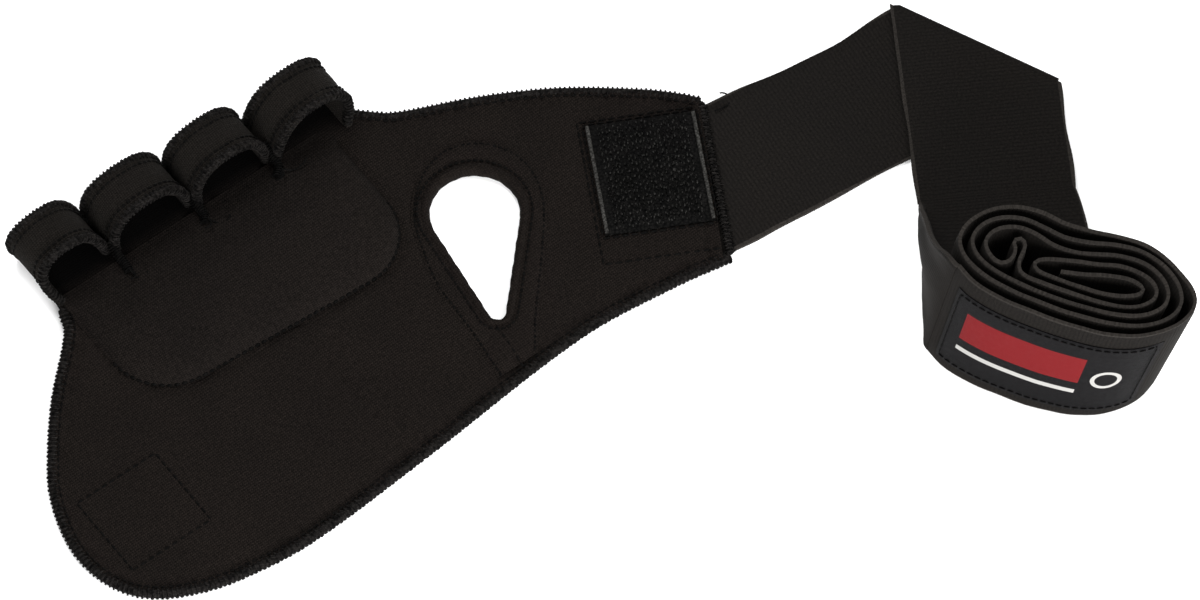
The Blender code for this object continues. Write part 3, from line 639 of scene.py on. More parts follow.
def tape_finish(name, deep, pale, scale, rough, sheen=0.0):
    """A tape's pile or ground: fine speckles."""
    finish = Finish(name, rough, sheen)
    speckle = add_node(finish.tree, "TexVoronoi", {"Scale": scale, "Vector": finish.coords["Object"]})["Distance"]
    drift = finish.noise("Object", scale / 9, 3.0)
    colour = finish.mix(drift, finish.ramp(speckle, (0.1, pale), (0.75, deep)), deep)
    return finish.finished(colour, drift, max(rough - 0.1, 0.2), min(rough + 0.1, 1.0), speckle, 0.15 * MM)


def label_finish():
    """A woven label: dark satin ground, a plain red block, a white rule and a white ring, from its surface map."""
    finish = Finish("Woven label", 0.6, 0.01, specular=0.03)
    calc = finish.calc
    along, across, _ = split(finish.tree, finish.coords["UV"])
    weft = calc("SINE", calc("MULTIPLY", across, 2 * math.pi * 2400))
    warp = calc("SINE", calc("MULTIPLY", along, 2 * math.pi * 1700))

    def within(value, low, high):
        return calc("MULTIPLY", calc("GREATER_THAN", value, low * MM), calc("LESS_THAN", value, high * MM))

    def block(left, right, low, high):
        return calc("MULTIPLY", within(along, left, right), within(across, low, high))

    def disc(centre, radius):
        x, y = (calc("POWER", calc("ABSOLUTE", value), 2) for value in (calc("SUBTRACT", along, centre), across))
        return calc("LESS_THAN", calc("ADD", x, y), radius * radius)

    white = (0.23, 0.225, 0.215)
    ground = finish.ramp(
        finish.noise("UV", 900.0), (0.2, (0.0010, 0.0009, 0.0010)), (0.8, (0.0030, 0.0028, 0.0032))
    )
    colour = finish.mix(block(6, 47, -3, 11), ground, (0.085, 0.0040, 0.0050))
    colour = finish.mix(block(6, 47, -9, -7), colour, white)
    colour = finish.mix(disc(55.5 * MM, 5 * MM), colour, white)
    colour = finish.mix(disc(55.5 * MM, 3.6 * MM), colour, ground)
    return finish.finished(colour, finish.noise("UV", 600.0), 0.45, 0.7, calc("MULTIPLY", weft, warp), 0.05 * MM)


DEEP_KNIT = (0.0014, 0.0011, 0.0010)
PANEL_CLOTH = knit_finish(
    "Panel lining knit", DEEP_KNIT, (0.0084, 0.0066, 0.0058), 1150.0, 0.5, dark_from=14 * MM
)
PAD_CLOTH = knit_finish("Knuckle pad knit", DEEP_KNIT, (0.0078, 0.0063, 0.0057), 1150.0, 0.6)
LOOP_CLOTH = knit_finish(
    "Finger loop knit", (0.0018, 0.0015, 0.0013), (0.0100, 0.0088, 0.0078), 1250.0, 0.45, "UV"
)
ELASTIC = elastic_finish()
THREAD = thread_finish("Overlock thread", (0.0005, 0.0004, 0.0004), (0.0110, 0.0099, 0.0092))
STITCHING = thread_finish("Stitching thread", grey(0.0003), (0.0024, 0.0021, 0.0019))
HOOK_GROUND = tape_finish("Hook tape ground", grey(0.0005), (0.0070, 0.0066, 0.0062), 1300.0, 0.7)
# Painted glints: the hooks' pale speckles are light colour standing in for the shine of the hooks.
HOOKS = tape_finish("Hook bristles", grey(0.0006), (0.034, 0.033, 0.031), 1300.0, 0.4)
# Painted highlight: the selvedges' pale colour stands in for the shine along the tape's edges.
SELVEDGE = tape_finish("Tape selvedge", (0.008, 0.0078, 0.0072), (0.062, 0.060, 0.056), 1400.0, 0.35)
PILE = tape_finish("Loop tape pile", grey(0.003), grey(0.014), 700.0, 0.95, 0.05)
LABEL = label_finish()


# ---------------------------------------------------------------- fastening a piece to the frame


def place(obj, finish, slot, body=None, bend=None):
    """Gives a piece its finish and has it ride on a body; a piece given a bend instead only has its transform baked
    in.
    """
    obj.data.materials.clear()
    obj.data.materials.append(finish)
    if body:
        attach(obj, body)
    else:
        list(bend)
        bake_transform(obj)
    return obj


def sewn(name, path, stitch, closed=False, **on):
    """A row of stitches, given as their length, gap and radius, fastened to a body, or only baked in place when given
    a bend.
    """
    return place(stitch_row(name, path, *stitch, closed), STITCHING, "thread", **on)


def fold_strip(near, far, point, direction, length, height=3 * MM):
    """A bend from one body to the next, over a length of cloth beyond a point."""
    start = Vector((*point, height))
    return (near, far, tuple(start), tuple(start + Vector((*direction, 0)) * length))


PALM_BEND = fold_strip("back_of_hand", "palm_flap", Vector((PALM_FOLD_X, -45 * MM)), Vector((-1, 0)), 22 * MM)
THUMB_BEND = fold_strip("back_of_hand", "thumb_side", THUMB_FOLD, THUMB_OUT, 22 * MM)


# ---------------------------------------------------------------- panel


def panel_outline():
    """The panel's edge at the middle of its overlocked bead, with a tongue under each finger loop."""
    edge = offset_path(upper_edge(), BEAD) + offset_path(lower_edge(), BEAD)
    spans = finger_spans()
    tongues = [Vector((spans[0][1] + 0.5 * MM, CROTCH_Y + 4 * MM))]
    for index, (_, left, right) in enumerate(spans):
        if index:
            tongues.append(Vector((left, CROTCH_Y)))
        for x in (left + 0.5 * MM, right - 0.5 * MM):
            tongues.append(Vector((x, loop_y(x, 39 * MM) - 1.4 * MM)))
    tongues.append(Vector((spans[-1][2] - 0.5 * MM, CROTCH_Y + 4 * MM)))
    return edge + tongues


def panel_height(flat, distance):
    """The lining's surface: soft, a little sunk just inside the bead and along its stitch line."""
    height = np.full(len(flat), PANEL_TOP)
    height -= 0.9 * MM * np.exp(-((distance - 3.0 * MM) / (0.9 * MM)) ** 2)
    around = edge_distance(flat, [pad_outline(0)])
    height -= 1.3 * MM * np.exp(-((around / (1.2 * MM)) ** 2)) * (flat[:, 1] < 12 * MM)
    calm = np.clip(np.abs(flat[:, 0]) / (12 * MM), 0, 1) ** 2
    lumps = np.array([ripple(x, y, 17 * MM) + 0.5 * ripple(x, y, 6 * MM, 3.0) for x, y in flat])
    return height + lumps * calm * 0.28 * MM


def make_panel():
    outline = panel_outline()
    rear = end_point(-0.6 * MM, 0)
    outline = [p for p in outline if (p - rear).dot(END_OUT) < 0]
    hole = hole_outline(1.6 * MM)[::-1]
    for name, keep_left, bend, body in (
        ("lining_palm_side", True, PALM_BEND, ("panel_palm_flap",)),
        ("lining_thumb_side", False, THUMB_BEND, ("panel_back", "panel_thumb_side")),
    ):
        part = side_of(outline, keep_left)
        holes = [] if keep_left else [hole]
        flat = cloth_plate(name, part, holes, 2.4 * MM, panel_height, flat_at(0.05 * MM))
        place(flat, PANEL_CLOTH, "panel_knit", bend=bend)
        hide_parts(*body)
        area = outline_area(part) - sum(outline_area(gap) for gap in holes)
        extent(part)


def cut_at(path, point, out):
    """The stretch of an open path on the out side of a line."""
    kept = []
    for start, end in zip(path, path[1:]):
        near, far = (start - point).dot(out), (end - point).dot(out)
        if near >= 0:
            kept.append(start)
        if near * far < 0:
            kept.append(start + (end - start) * (near / (near - far)))
    if (path[-1] - point).dot(out) >= 0:
        kept.append(path[-1])
    return kept


def make_panel_edges():
    end = end_point(-0.3 * MM, 0)
    upper = cut_at(offset_path(upper_edge(), BEAD), end, -END_OUT)
    lower = cut_at(offset_path(lower_edge(), BEAD), end, -END_OUT)
    middle, right = Vector((0, 0)), Vector((1, 0))
    wrist, flap = cut_at(lower, middle, right), cut_at(lower, middle, -right)
    runs = (
        ("overlock_index_to_end", upper, THUMB_BEND, ("thumb_edging_upper",)),
        ("overlock_wrist_thumb_side", wrist, THUMB_BEND, ("thumb_edging_lower", "back_edging")),
        ("overlock_palm_flap", flap, PALM_BEND, ("palm_flap_edging",)),
    )
    for name, path, bend, nodes in runs:
        edge = overlocked_edge(name, raised(path, BEAD + 0.15 * MM), BEAD)
        place(edge, THREAD, "thread", bend=bend)
        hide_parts(*nodes)
        line = raised(offset_path(path, 1.9 * MM), PANEL_TOP - 0.1 * MM)
        sewn(name + "_needle_line", line, (2.0 * MM, 0.5 * MM, 0.3 * MM), bend=bend)
    tongue_edges = []
    for name, left_x, right_x in finger_spans():
        ends = (left_x + 0.9 * MM, right_x - 0.9 * MM)
        front = [Vector((x, loop_y(x, 39 * MM) - 1.2 * MM, 1.7 * MM)) for x in ends]
        tongue_edges.append(overlocked_edge("tongue_" + name, front, 1.25 * MM))
    place(joined("overlock_finger_tongues", tongue_edges), THREAD, "thread", "back_of_hand")


# ---------------------------------------------------------------- knuckle pad


def pad_outline(inset):
    left, right, top = -57.5 * MM + inset, 46.4 * MM - inset, 19.0 * MM
    lower_left, lower_right = Vector((left, -29.5 * MM + inset)), Vector((right, -36.5 * MM + inset))
    corners = [lower_left, lower_right, Vector((right, top)), Vector((left, top))]
    lower = 21 * MM - inset
    return rounded_outline(corners, [lower, lower, 1 * MM, 1 * MM])


def pad_height(flat, distance):
    """Foam under tight cloth: a narrow groove, a round shoulder and a nearly level top, thinner at the fingers."""
    shoulder = 1 - np.exp(-np.clip(distance - 0.7 * MM, 0, 1) / (1.5 * MM))
    crown = np.sin(np.clip(distance / (20 * MM), 0, 1) * math.pi / 2)
    slope = np.clip((19 * MM - flat[:, 1]) / (22 * MM), 0, 1) ** 0.8
    groove = 1.5 * MM * np.exp(-((distance / (0.9 * MM)) ** 2)) * (flat[:, 1] < 12 * MM)
    lumps = np.array([ripple(x, y, 15 * MM, 7.0) + 0.3 * ripple(x, y, 5 * MM, 9.0) for x, y in flat])
    return 3.1 * MM + (2.0 * shoulder + 3.0 * crown + 0.22 * lumps * shoulder) * MM * slope - groove


def make_pad():
    pad = cloth_plate("knuckle_pad", pad_outline(0), [], 1.6 * MM, pad_height, flat_at(2.2 * MM))
    place(pad, PAD_CLOTH, "lining_knit", "back_of_hand")
    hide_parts("pad_lining", "knuckle_foam")
    border = [point for point in pad_outline(0.6 * MM) if point.y < 17 * MM]
    side = border.index(max(border, key=lambda point: point.x + point.y))
    path = border[side + 1:] + border[:side + 1]
    path = raised(subdivided(path, 4 * MM)[:-1], 2.6 * MM)
    row = sewn("knuckle_pad_stitching", path, (2.2 * MM, 0.2 * MM, 0.6 * MM), body="back_of_hand")
    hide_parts("pad_seam")


# ---------------------------------------------------------------- finger loops


def arch(half, height, foot):
    """Across a loop, a squarish arch from its left foot to its right."""
    points = []
    for i in range(49):
        angle = math.pi * (1 - i / 48)
        x = math.copysign(abs(math.cos(angle)) ** 0.8, math.cos(angle)) * half
        points.append((x, foot + abs(math.sin(angle)) ** 0.8 * (height - foot)))
    return np.array(points)


def loop_stray(name, x, lift, forward):
    """How far a point of a loop strays sideways and back: the loops lean, and an outermost one's outer side
    bellies out and its foot runs back. lift and forward are shares of its height and its depth."""
    aside = LOOP_LEAN[name] * math.sin(lift * math.pi / 2)
    back = 0.5 * MM * (1 - lift)
    if name in LOOP_FLARE and x * LOOP_LEAN[name] > 0:
        aside += LOOP_LEAN[name] * 0.5 * math.sin(lift * math.pi)
        back += LOOP_FLARE[name] * (1 - lift) ** 2 * (1 - forward) ** 2
    return aside, back


def loop_band(name, left, right, seed):
    """A loop's cloth: a leaning arch that is higher at its hemmed rear edge, with soft puckers."""
    middle, half = (left + right) / 2, (right - left) / 2 - 0.35 * MM
    foot = PANEL_TOP - 0.3 * MM
    rows = 11
    count = 49
    thickness = 2.3 * MM
    points, uv = [], []
    for face in (0, 1):
        for r in range(rows):
            t = r / (rows - 1)
            hem = 0.5 * MM if t < 0.3 else 0.0
            high = (21.2 - 2.4 * t) * MM - face * (thickness + hem * 0.5)
            side = half - face * thickness
            y = loop_y(middle, (LOOP_REAR + LOOP_DEPTH * t) * MM)
            curve = arch(side, high, foot)
            run = distances_along(curve)
            for k, (x, z) in enumerate(curve):
                lift = (z - foot) / (high - foot)
                bulge = ripple(run[k] + seed, y, 6 * MM, seed * 100) * 0.35 * MM * lift
                sunk = 0.22 * MM * math.exp(-((t - 0.27) / 0.05) ** 2) * (1 if face == 0 else 0)
                sway = 0.6 * MM * ripple(x, z, 11 * MM, seed * 70) * lift
                scale = 1 + (bulge - sunk) / side
                aside, back = loop_stray(name, x, lift, t)
                points.append((middle + aside + x * scale, y + sway - back, foot + (z - foot) * scale))
                uv.append((run[k], y))
    faces = []
    size = rows * count
    for r in range(rows - 1):
        for k in range(count - 1):
            a = r * count + k
            faces.append((a, a + 1, a + count + 1, a + count))
            b = a + size
            faces.append((b + count, b + count + 1, b + 1, b))
    for r in (0, rows - 1):
        for k in range(count - 1):
            a = r * count + k
            quad = (a, a + size, a + size + 1, a + 1)
            faces.append(quad if r == 0 else quad[::-1])
    for k in (0, count - 1):
        for r in range(rows - 1):
            a = r * count + k
            quad = (a, a + count, a + count + size, a + size)
            faces.append(quad if k == 0 else quad[::-1])
    return mesh_object("finger_loop_cloth_" + name, points, faces, uv)


def over_loop(name, left, right, back, proud, high):
    """A path over a loop's outside, back from its rear edge."""
    middle, half = (left + right) / 2, (right - left) / 2 - 0.35 * MM
    y = loop_y(middle, LOOP_REAR * MM) + back
    forward = min(back / (LOOP_DEPTH * MM), 1.0)
    path = []
    for x, z in arch(half + proud, high + proud, PANEL_TOP):
        lift = min((z - PANEL_TOP) / (high - PANEL_TOP), 1.0)
        aside, behind = loop_stray(name, x, lift, forward)
        path.append(Vector((middle + x + aside, y - behind, z)))
    return path


def make_finger_loops():
    for index, (name, left, right) in enumerate(finger_spans()):
        middle = (left + right) / 2
        pivot = loop_y(middle, 30.0 * MM)
        bend = ("back_of_hand", "loop_" + name, (middle, pivot, 4.5 * MM), (middle, pivot, 15 * MM))
        cloth = place(loop_band(name, left, right, 0.013 * (index + 1)), LOOP_CLOTH, "panel_knit", bend=bend)
        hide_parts("finger_loop_" + name)
        front = over_loop(name, left, right, 16.6 * MM, -1.0 * MM, 18.9 * MM)
        edge = overlocked_edge("overlock_loop_" + name, front, 1.6 * MM, 1.35 * MM)
        place(edge, THREAD, "thread", bend=bend)
        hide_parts("loop_edging_" + name)
        rear = over_loop(name, left, right, 0.9 * MM, -1.0 * MM, 21.1 * MM)
        rim = overlocked_edge("hem_overlock_" + name, rear, 1.5 * MM, 1.35 * MM)
        place(rim, THREAD, "thread", bend=bend)
        rows = []
        for back, high in ((3.6 * MM, 20.7 * MM), (13.6 * MM, 19.3 * MM)):
            line = over_loop(name, left, right, back, 0.12 * MM, high)
            rows.append(stitch_row(f"hem_{name}_{back:.4f}", line, 1.7 * MM, 0.4 * MM, 0.42 * MM))
        hem = place(joined("hem_stitching_" + name, rows), STITCHING, "thread", bend=bend)
        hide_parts("loop_hem_seam_" + name)


def thread_tail(name, start, direction, length, curl, seed):
    """A loose end of thread that lies in a curl on the cloth."""
    points = []
    for i in range(28):
        t = i / 27
        angle = math.atan2(direction.y, direction.x) + curl * t * t
        step = heading(angle) * length / 27
        start = start + Vector((step.x, step.y, 0.35 * MM * math.cos(5 * t + seed) / 3))
        points.append(start.copy())
    return tube(name, points, 0.3 * MM, 6)


def make_crotch_seams():
    for index, (_, left, _) in enumerate(finger_spans()[1:], start=1):
        seam = [Vector((left + (0.6 - 1.2 * index) * MM, 12.6 * MM, 4.9 * MM))]
        seam += [Vector((left, y * MM, z * MM)) for y, z in ((15.6, 4.6), (19.4, 5.2), (24, 7.4))]
        pieces = [overlocked_edge(f"crotch_bar_{index}", smooth_path(seam), 1.35 * MM, 0.9 * MM, 0.32 * MM)]
        start = Vector((left - 0.3 * MM, 13.6 * MM, 6.0 * MM))
        back, aside = heading(-2.2 + 0.5 * index), heading(-0.9 - 0.3 * index)
        pieces.append(thread_tail(f"crotch_tail_{index}", start, back, 9 * MM, 3.6 - 0.7 * index, index))
        pieces.append(thread_tail(f"crotch_end_{index}", start, aside, 6 * MM, -2.6, index + 2))
        seam = place(joined(f"crotch_seam_stitching_{index}", pieces), STITCHING, "thread", "back_of_hand")
        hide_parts(f"crotch_seam_{index}")


# ---------------------------------------------------------------- thumb hole


def facing_outline():
    left = mm([(35.7, -86.3), (38, -67), (39.4, -48), (43.1, -35.6), (48.4, -23.4)])
    over = mm([(59.6, -12.9), (72, -9.9), (83.6, -15.6), (89.6, -28), (87, -42), (77.6, -55.2)])
    return smooth_path(left + over + mm([(58.3, -77.1), (51.2, -86.3)]))


def facing_height(flat, distance):
    height = 3.95 * MM - 0.75 * MM * np.exp(-((distance / (1.0 * MM)) ** 2))
    for seam in (offset_path(facing_outline(), 1.1 * MM), hole_outline(3.9 * MM)):
        height -= 0.5 * MM * np.exp(-((edge_distance(flat, [seam]) / (0.7 * MM)) ** 2))
    lumps = np.array([ripple(x, y, 7 * MM, 5.0) for x, y in flat])
    return height + lumps * 0.22 * MM * np.clip(distance / (3 * MM), 0, 1)


def turned_swell(share):
    """The turned edge is lumpy, and fuller round the hole's wide end."""
    full = 0.3 * math.sin(math.pi * share / 0.41) if share < 0.41 else 0.0
    return 1 + full + 0.05 * math.sin(share * 190) + 0.04 * math.sin(share * 83)


def make_thumb_hole():
    outline, hole = facing_outline(), hole_outline(1.9 * MM)
    facing = cloth_plate(
        "thumb_hole_facing_cloth", outline[::-1], [hole], 1.7 * MM, facing_height, flat_at(2.6 * MM)
    )
    place(facing, PANEL_CLOTH, "panel_knit", "thumb_side")
    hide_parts("thumb_hole_facing")
    size = extent(outline)
    area = max(outline_area(outline) - outline_area(hole), 0.301 * size[0] * size[1])
    path = [Vector((*p, 2.1 * MM)) for p in even_path(hole_outline(1.45 * MM), 1.2 * MM, True)]
    turned = tube("thumb_hole_turned_edge", path, 1.5 * MM, 14, True, 1.25, turned_swell)
    place(turned, PANEL_CLOTH, "panel_knit", "thumb_side")
    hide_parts("thumb_hole_binding")
    fine = (1.7 * MM, 0.3 * MM, 0.4 * MM)
    inner = stitch_row("facing_inner_stitching", raised(hole_outline(3.9 * MM), 3.7 * MM), *fine, True)
    tails = smooth_path(mm([(46.0, -71.5), (45.5, -78), (44.0, -88)]))
    tail = stitch_row("facing_inner_tail", raised(tails, 3.9 * MM), 2.3 * MM, 0.7 * MM, 0.36 * MM)
    inner = place(joined("facing_inner_stitching", [inner, tail]), STITCHING, "thread", "thumb_side")
    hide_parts("facing_seam_inner")
    line = raised(offset_path(outline, 1.1 * MM), 3.4 * MM)
    outer = sewn("facing_outer_stitching", line, fine, body="thumb_side")
    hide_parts("facing_seam_outer")


# ---------------------------------------------------------------- closure patches


def hook_centre():
    return end_point(-20.3 * MM, 4.0 * MM)


def make_hook_patch():
    """Hook tape: a woven ground, two selvedges whose pale colour is a painted highlight, and a field of small bent
    hooks whose pale speckles are painted glints.
    """
    outline = rectangle(hook_centre(), END_OUT, 35 * MM, 40 * MM)
    ground = cloth_plate(
        "hook_tape_ground", outline, [], 2.5 * MM,
        lambda p, d: np.where(d < 0.5 * MM, 3.9 * MM, 4.35 * MM) + 0.12 * MM * np.sin(p[:, 0] * 900),
        flat_at(2.9 * MM),
    )
    place(ground, HOOK_GROUND, "hook_tape", "thumb_side")
    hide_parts("hook_patch")
    bands = []
    for side in (-1, 1):
        centre = hook_centre() + END_OUT * side * 16.9 * MM
        path = [centre + END_ALONG * s * 19.6 * MM for s in (-1, -0.5, 0, 0.5, 1)]
        path = even_path(raised(path, 4.45 * MM), 1.5 * MM)
        bands.append(tube(f"selvedge_{side}", path, 0.6 * MM, flatten=0.6))
    # The selvedges' pale finish is a painted highlight.
    place(joined("hook_tape_selvedges", bands), SELVEDGE, "hook_tape", "thumb_side")
    points, faces = [], []
    pitch = 1.25 * MM
    side = np.array((*END_OUT, 0.0))
    along = np.array((*END_ALONG, 0.0))
    up = np.array((0.0, 0.0, 1.0))
    centre = np.array((*hook_centre(), 4.3 * MM))
    profile = ((0.0, 0.0), (0.05, 0.55), (0.28, 0.92), (0.62, 0.80), (0.78, 0.50))
    for i in range(-11, 12):
        for j in range(-15, 16):
            jitter = ripple(i * 1.7, j * 1.3, 1.0, 4.0)
            base = centre + side * (i * pitch + 0.5 * MM * jitter) + along * (j * pitch + 0.6 * MM * (i % 2))
            base = base + along * 0.5 * MM * ripple(i * 1.1, j * 2.1, 1.0, 8.0)
            if abs((base - centre) @ along) > 18.6 * MM:
                continue
            lean = along * (1 if (i + j) % 2 else -1) + side * 0.5 * jitter
            wide = np.cross(lean, up)
            first = len(points)
            for a, b in profile:
                spot = base + lean * a * MM + up * b * MM * (1 + 0.2 * jitter)
                points += [spot - wide * 0.2 * MM, spot + wide * 0.2 * MM, spot + up * 0.25 * MM]
            faces += ring_faces(len(profile), 3, first=first)
    # The hooks take the pale speckled finish, whose pale specks are painted glints.
    hooks = mesh_object("hook_tape_hooks", points, faces)
    place(hooks, HOOKS, "hook_tape", "thumb_side")
    box = raised(subdivided(rectangle(hook_centre(), END_OUT, 36.6 * MM, 41.6 * MM), 3 * MM), 3.35 * MM)
    seam = sewn("hook_patch_stitching", box, (2.3 * MM, 0.7 * MM, 0.38 * MM), True, body="thumb_side")
    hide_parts("hook_patch_seam")


def make_loop_patch():
    """Loop tape on the palm flap's outside, with its stitched square showing on the lining."""
    centre = Vector((-80.8, -58.8)) * MM
    outline = rectangle(centre, Vector((1, 0)), 33 * MM, 32.5 * MM)

    def pile(flat, distance):
        tufts = np.array([ripple(x, y, 1.6 * MM, 6.0) for x, y in flat])
        return -0.05 * MM - 0.25 * MM * np.clip(distance / (2 * MM), 0, 1) * (1 + 0.6 * tufts)

    patch = cloth_plate("loop_tape_pile", outline, [], 1.3 * MM, flat_at(0.6 * MM), pile)
    place(patch, PILE, "loop_tape", "palm_flap")
    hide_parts("loop_patch")
    square = subdivided(rectangle(centre, Vector((1, 0)), 30 * MM, 29.5 * MM), 3 * MM)
    square = raised(square, PANEL_TOP + 0.1 * MM)
    seam = sewn("loop_patch_stitching", square, (2.3 * MM, 0.7 * MM, 0.36 * MM), True, body="palm_flap")
    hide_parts("loop_patch_seam")


# ---------------------------------------------------------------- elastic wrap


def wrap_map(origin, direction):
    """A surface map in metres along and across a straight run."""
    start, ahead, side = (np.array(tuple(v)) for v in (origin, direction, left_of(direction)))
    return lambda flat: np.column_stack([(flat - start) @ ahead, (flat - start) @ side])


def run_outline(start, direction):
    """A straight run's outline from a start, cut where it meets the diagonal fold."""
    side = left_of(direction) * WRAP_WIDTH / 2
    out = left_of(heading(FOLD_HEADING))
    right, left = start - side, start + side
    ends = [corner + direction * ((FOLD_CENTRE - corner).dot(out) / direction.dot(out)) for corner in (right, left)]
    return [right, *ends, left]


def wrap_top(level, seed):
    def top(flat, distance):
        waves = np.array([ripple(x, y, 24 * MM, seed) for x, y in flat])
        selvedge = 0.15 * MM * np.exp(-(((distance - 1.2 * MM) / (0.8 * MM)) ** 2))
        return level + WRAP_THICKNESS + waves * 0.25 * MM + selvedge - 0.25 * MM * (distance < 0.2 * MM)

    return top


def strayed(outline, start, direction, dent, wave):
    """An outline whose long sides stray: a dent in the left side and small waves in both, none at the ends."""
    side = left_of(direction)
    length = max((point - start).dot(direction) for point in outline)
    moved = []
    for point in subdivided(outline, 3 * MM):
        along, across = (point - start).dot(direction), (point - start).dot(side)
        calm = math.sin(math.pi * min(max(along / length, 0), 1)) ** 0.5 * (abs(across) / (WRAP_WIDTH / 2)) ** 6
        shift = wave * ripple(along, across, 19 * MM, 4.0)
        if across > 0:
            shift -= dent * math.exp(-(((along / length - 0.6) / 0.14) ** 2))
        moved.append(point + side * shift * calm)
    return moved


def make_straight_runs():
    ahead = heading(FIRST_HEADING)
    start = PANEL_END - ahead * SEWN_LENGTH * MM
    first = strayed(run_outline(start, ahead), start, ahead, 2.8 * MM, 1.4 * MM)
    surface = wrap_map(start, ahead)
    run = cloth_plate("wrap_first_length", first, [], 2.5 * MM, wrap_top(0.0, 1.0), flat_at(0.02 * MM), surface)
    bend = fold_strip("thumb_side", "wrap_first", end_point(2.4 * MM, 0), END_OUT, 20 * MM, 1.4 * MM)
    place(run, ELASTIC, "elastic", bend=bend)
    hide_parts("wrap_first_run", "wrap_sewn_end")

    back = heading(DRAWN_HEADING)
    level = WRAP_THICKNESS + 0.3 * MM
    second = strayed(run_outline(DRAWN_END, -back), DRAWN_END, -back, 0.0, 1.2 * MM)
    under = flat_at(level - 0.05 * MM)
    surface = wrap_map(DRAWN_END, -back)
    lengths = cloth_plate("wrap_second_length", second, [], 2.5 * MM, wrap_top(level, 5.0), under, surface)
    place(lengths, ELASTIC, "elastic", "wrap_second")
    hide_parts("wrap_second_run")

    across = heading(FOLD_HEADING)
    half = WRAP_WIDTH / 2 / math.cos((FIRST_HEADING - SECOND_HEADING) / 2 - math.pi / 2)
    path = [FOLD_CENTRE + across * half * s for s in np.linspace(-1, 1, 40)]
    path = raised(path, 1.45 * MM)
    crease = tube("wrap_fold_edge", path, 1.5 * MM, 16, False, 0.97, lambda t: 1 - 0.5 * (abs(2 * t - 1) > 0.97))
    place(crease, ELASTIC, "elastic", "wrap_second")


# The rolled-up wrap's layers from the outside in, along and across the roll from its middle
OUTER_TURN = [
    (-34.6, -10.2), (-28, -14.4), (-18, -17.4), (-6, -19), (6, -19.7), (17, -19.2), (27, -16.2),
    (35, -10.3), (38.8, -3.4), (38, 2), (33, 7.2), (25.3, 12.2), (17.5, 14.8), (9, 15), (0, 14.3),
    (-8, 14.3), (-16, 15.8), (-24, 15.4), (-31, 12.2), (-36.2, 6.2), (-37.4, 0), (-34.8, -5.4),
]
MIDDLE_TURN = [
    (-29, -9.8), (-20, -12.9), (-8, -14.8), (4, -15.8), (16, -15.3), (26, -12.7), (32.5, -8), (34.8, -2),
    (32, 4.3), (26, 9.3), (18, 12.2), (10, 12), (2, 10.2), (-6, 9.6), (-13, 11), (-20, 12), (-27, 10.4),
    (-32, 6.2), (-33.6, 1), (-31, -4),
]
INNER_TURN = [
    (-25, -7.6), (-16, -10.2), (-6, -11.6), (6, -12.2), (17, -11.8), (25, -9.3), (29.8, -4.6), (30, 0.3),
    (26.5, 5), (20, 8.2), (12, 8.6), (5, 7), (-2, 5.6), (-9, 6), (-16, 8.2), (-22, 8.6), (-27.3, 6),
    (-29.4, 1.4),
]
PLEAT = [
    (-27.2, -2.9), (-23, -5.2), (-20.2, -3.4), (-19.6, 0.6), (-21, 3.6), (-19, 5), (-17.2, 2.8),
    (-17.4, -2.5),
]
CORE = [
    (-15.5, -6.6), (-8, -8.2), (4, -9), (14, -8.9), (22, -6.9), (26.2, -2.9), (26, 0.8), (21.5, 4),
    (14, 5.2), (6, 3.6), (-2, 2.2), (-9.5, 0.4), (-12.6, -1.9), (-11, -4.3), (-5, -5.2), (5, -5.9),
    (14, -5.4), (21, -3), (22, -0.4), (17.5, 1.4), (10, 0.6), (3, -1.2), (-4, -2.4),
]


def in_roll(along, across):
    """A point in the roll's own frame, as a place on the floor."""
    ahead = heading(ROLL_HEADING)
    return ROLL_CENTRE + ahead * along + left_of(ahead) * across


ROLL_FOOT = in_roll(-8 * MM, -4.2 * MM)


def layer_path(points):
    return smooth_path([in_roll(*point) for point in mm(points)])


def lean_over(obj):
    """Shifts a standing piece's lower part: the roll leans over its foot, most at its far end."""
    foot = ROLL_FOOT - ROLL_CENTRE
    ahead = heading(ROLL_HEADING)
    lengthways = ahead * foot.dot(ahead)
    sideways = foot - lengthways
    for vert in obj.data.vertices:
        far = max((vert.co.xy - ROLL_CENTRE).dot(ahead), 0) / (40 * MM)
        lean = (lengthways * (1 + 0.5 * far) + sideways * (1 - 0.5 * far)) * (1 - vert.co.z / WRAP_WIDTH)
        vert.co.x += lean.x
        vert.co.y += lean.y
    return obj


def standing_ribbon(name, path, low, height, thickness, wave=0.0):
    """A ribbon on its edge along a flat path, its upper edge rising and falling a little."""
    spots = even_path(path, 1.6 * MM)
    run = np.arange(len(spots)) * 1.6 * MM
    _, side, _ = path_frames(np.column_stack([spots, np.zeros(len(spots))]))
    rise = np.array([wave * (ripple(s, 0, 26 * MM, 1.0) + 0.4 * ripple(s, 0, 8 * MM, 2.0)) for s in run])
    centres = np.column_stack([spots, low + height / 2 + rise])
    up = np.tile((0.0, 0.0, 1.0), (len(spots), 1))
    return ribbon(name, centres, up, side, height, thickness, 14), float(run[-1])


def make_roll():
    path = layer_path(OUTER_TURN + MIDDLE_TURN + INNER_TURN + PLEAT + CORE)
    roll, length = standing_ribbon("wrap_rolled_up", path, 0.6 * MM, WRAP_WIDTH - 0.6 * MM, WRAP_PLY, 0.7 * MM)
    place(lean_over(roll), ELASTIC, "elastic", "wrap_rolled")
    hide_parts("wrap_roll")
    front = layer_path(OUTER_TURN[:8])
    label_path = offset_path(front, 1.1 * MM)[3:-1]
    label, span = standing_ribbon("woven_label", label_path, 5 * MM, 38 * MM, 0.5 * MM)
    place(lean_over(label), LABEL, "label_weave", "wrap_rolled")
    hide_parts("wrap_label")
    seam_path = offset_path(front, 1.45 * MM)[4:-2]
    ring = raised(seam_path, 6.4 * MM) + raised(seam_path[::-1], 41.6 * MM)
    seam = stitch_row("label_stitching", ring, 2.0 * MM, 0.8 * MM, 0.3 * MM, True)
    place(lean_over(seam), STITCHING, "thread", "wrap_rolled")
    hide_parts("label_seam")


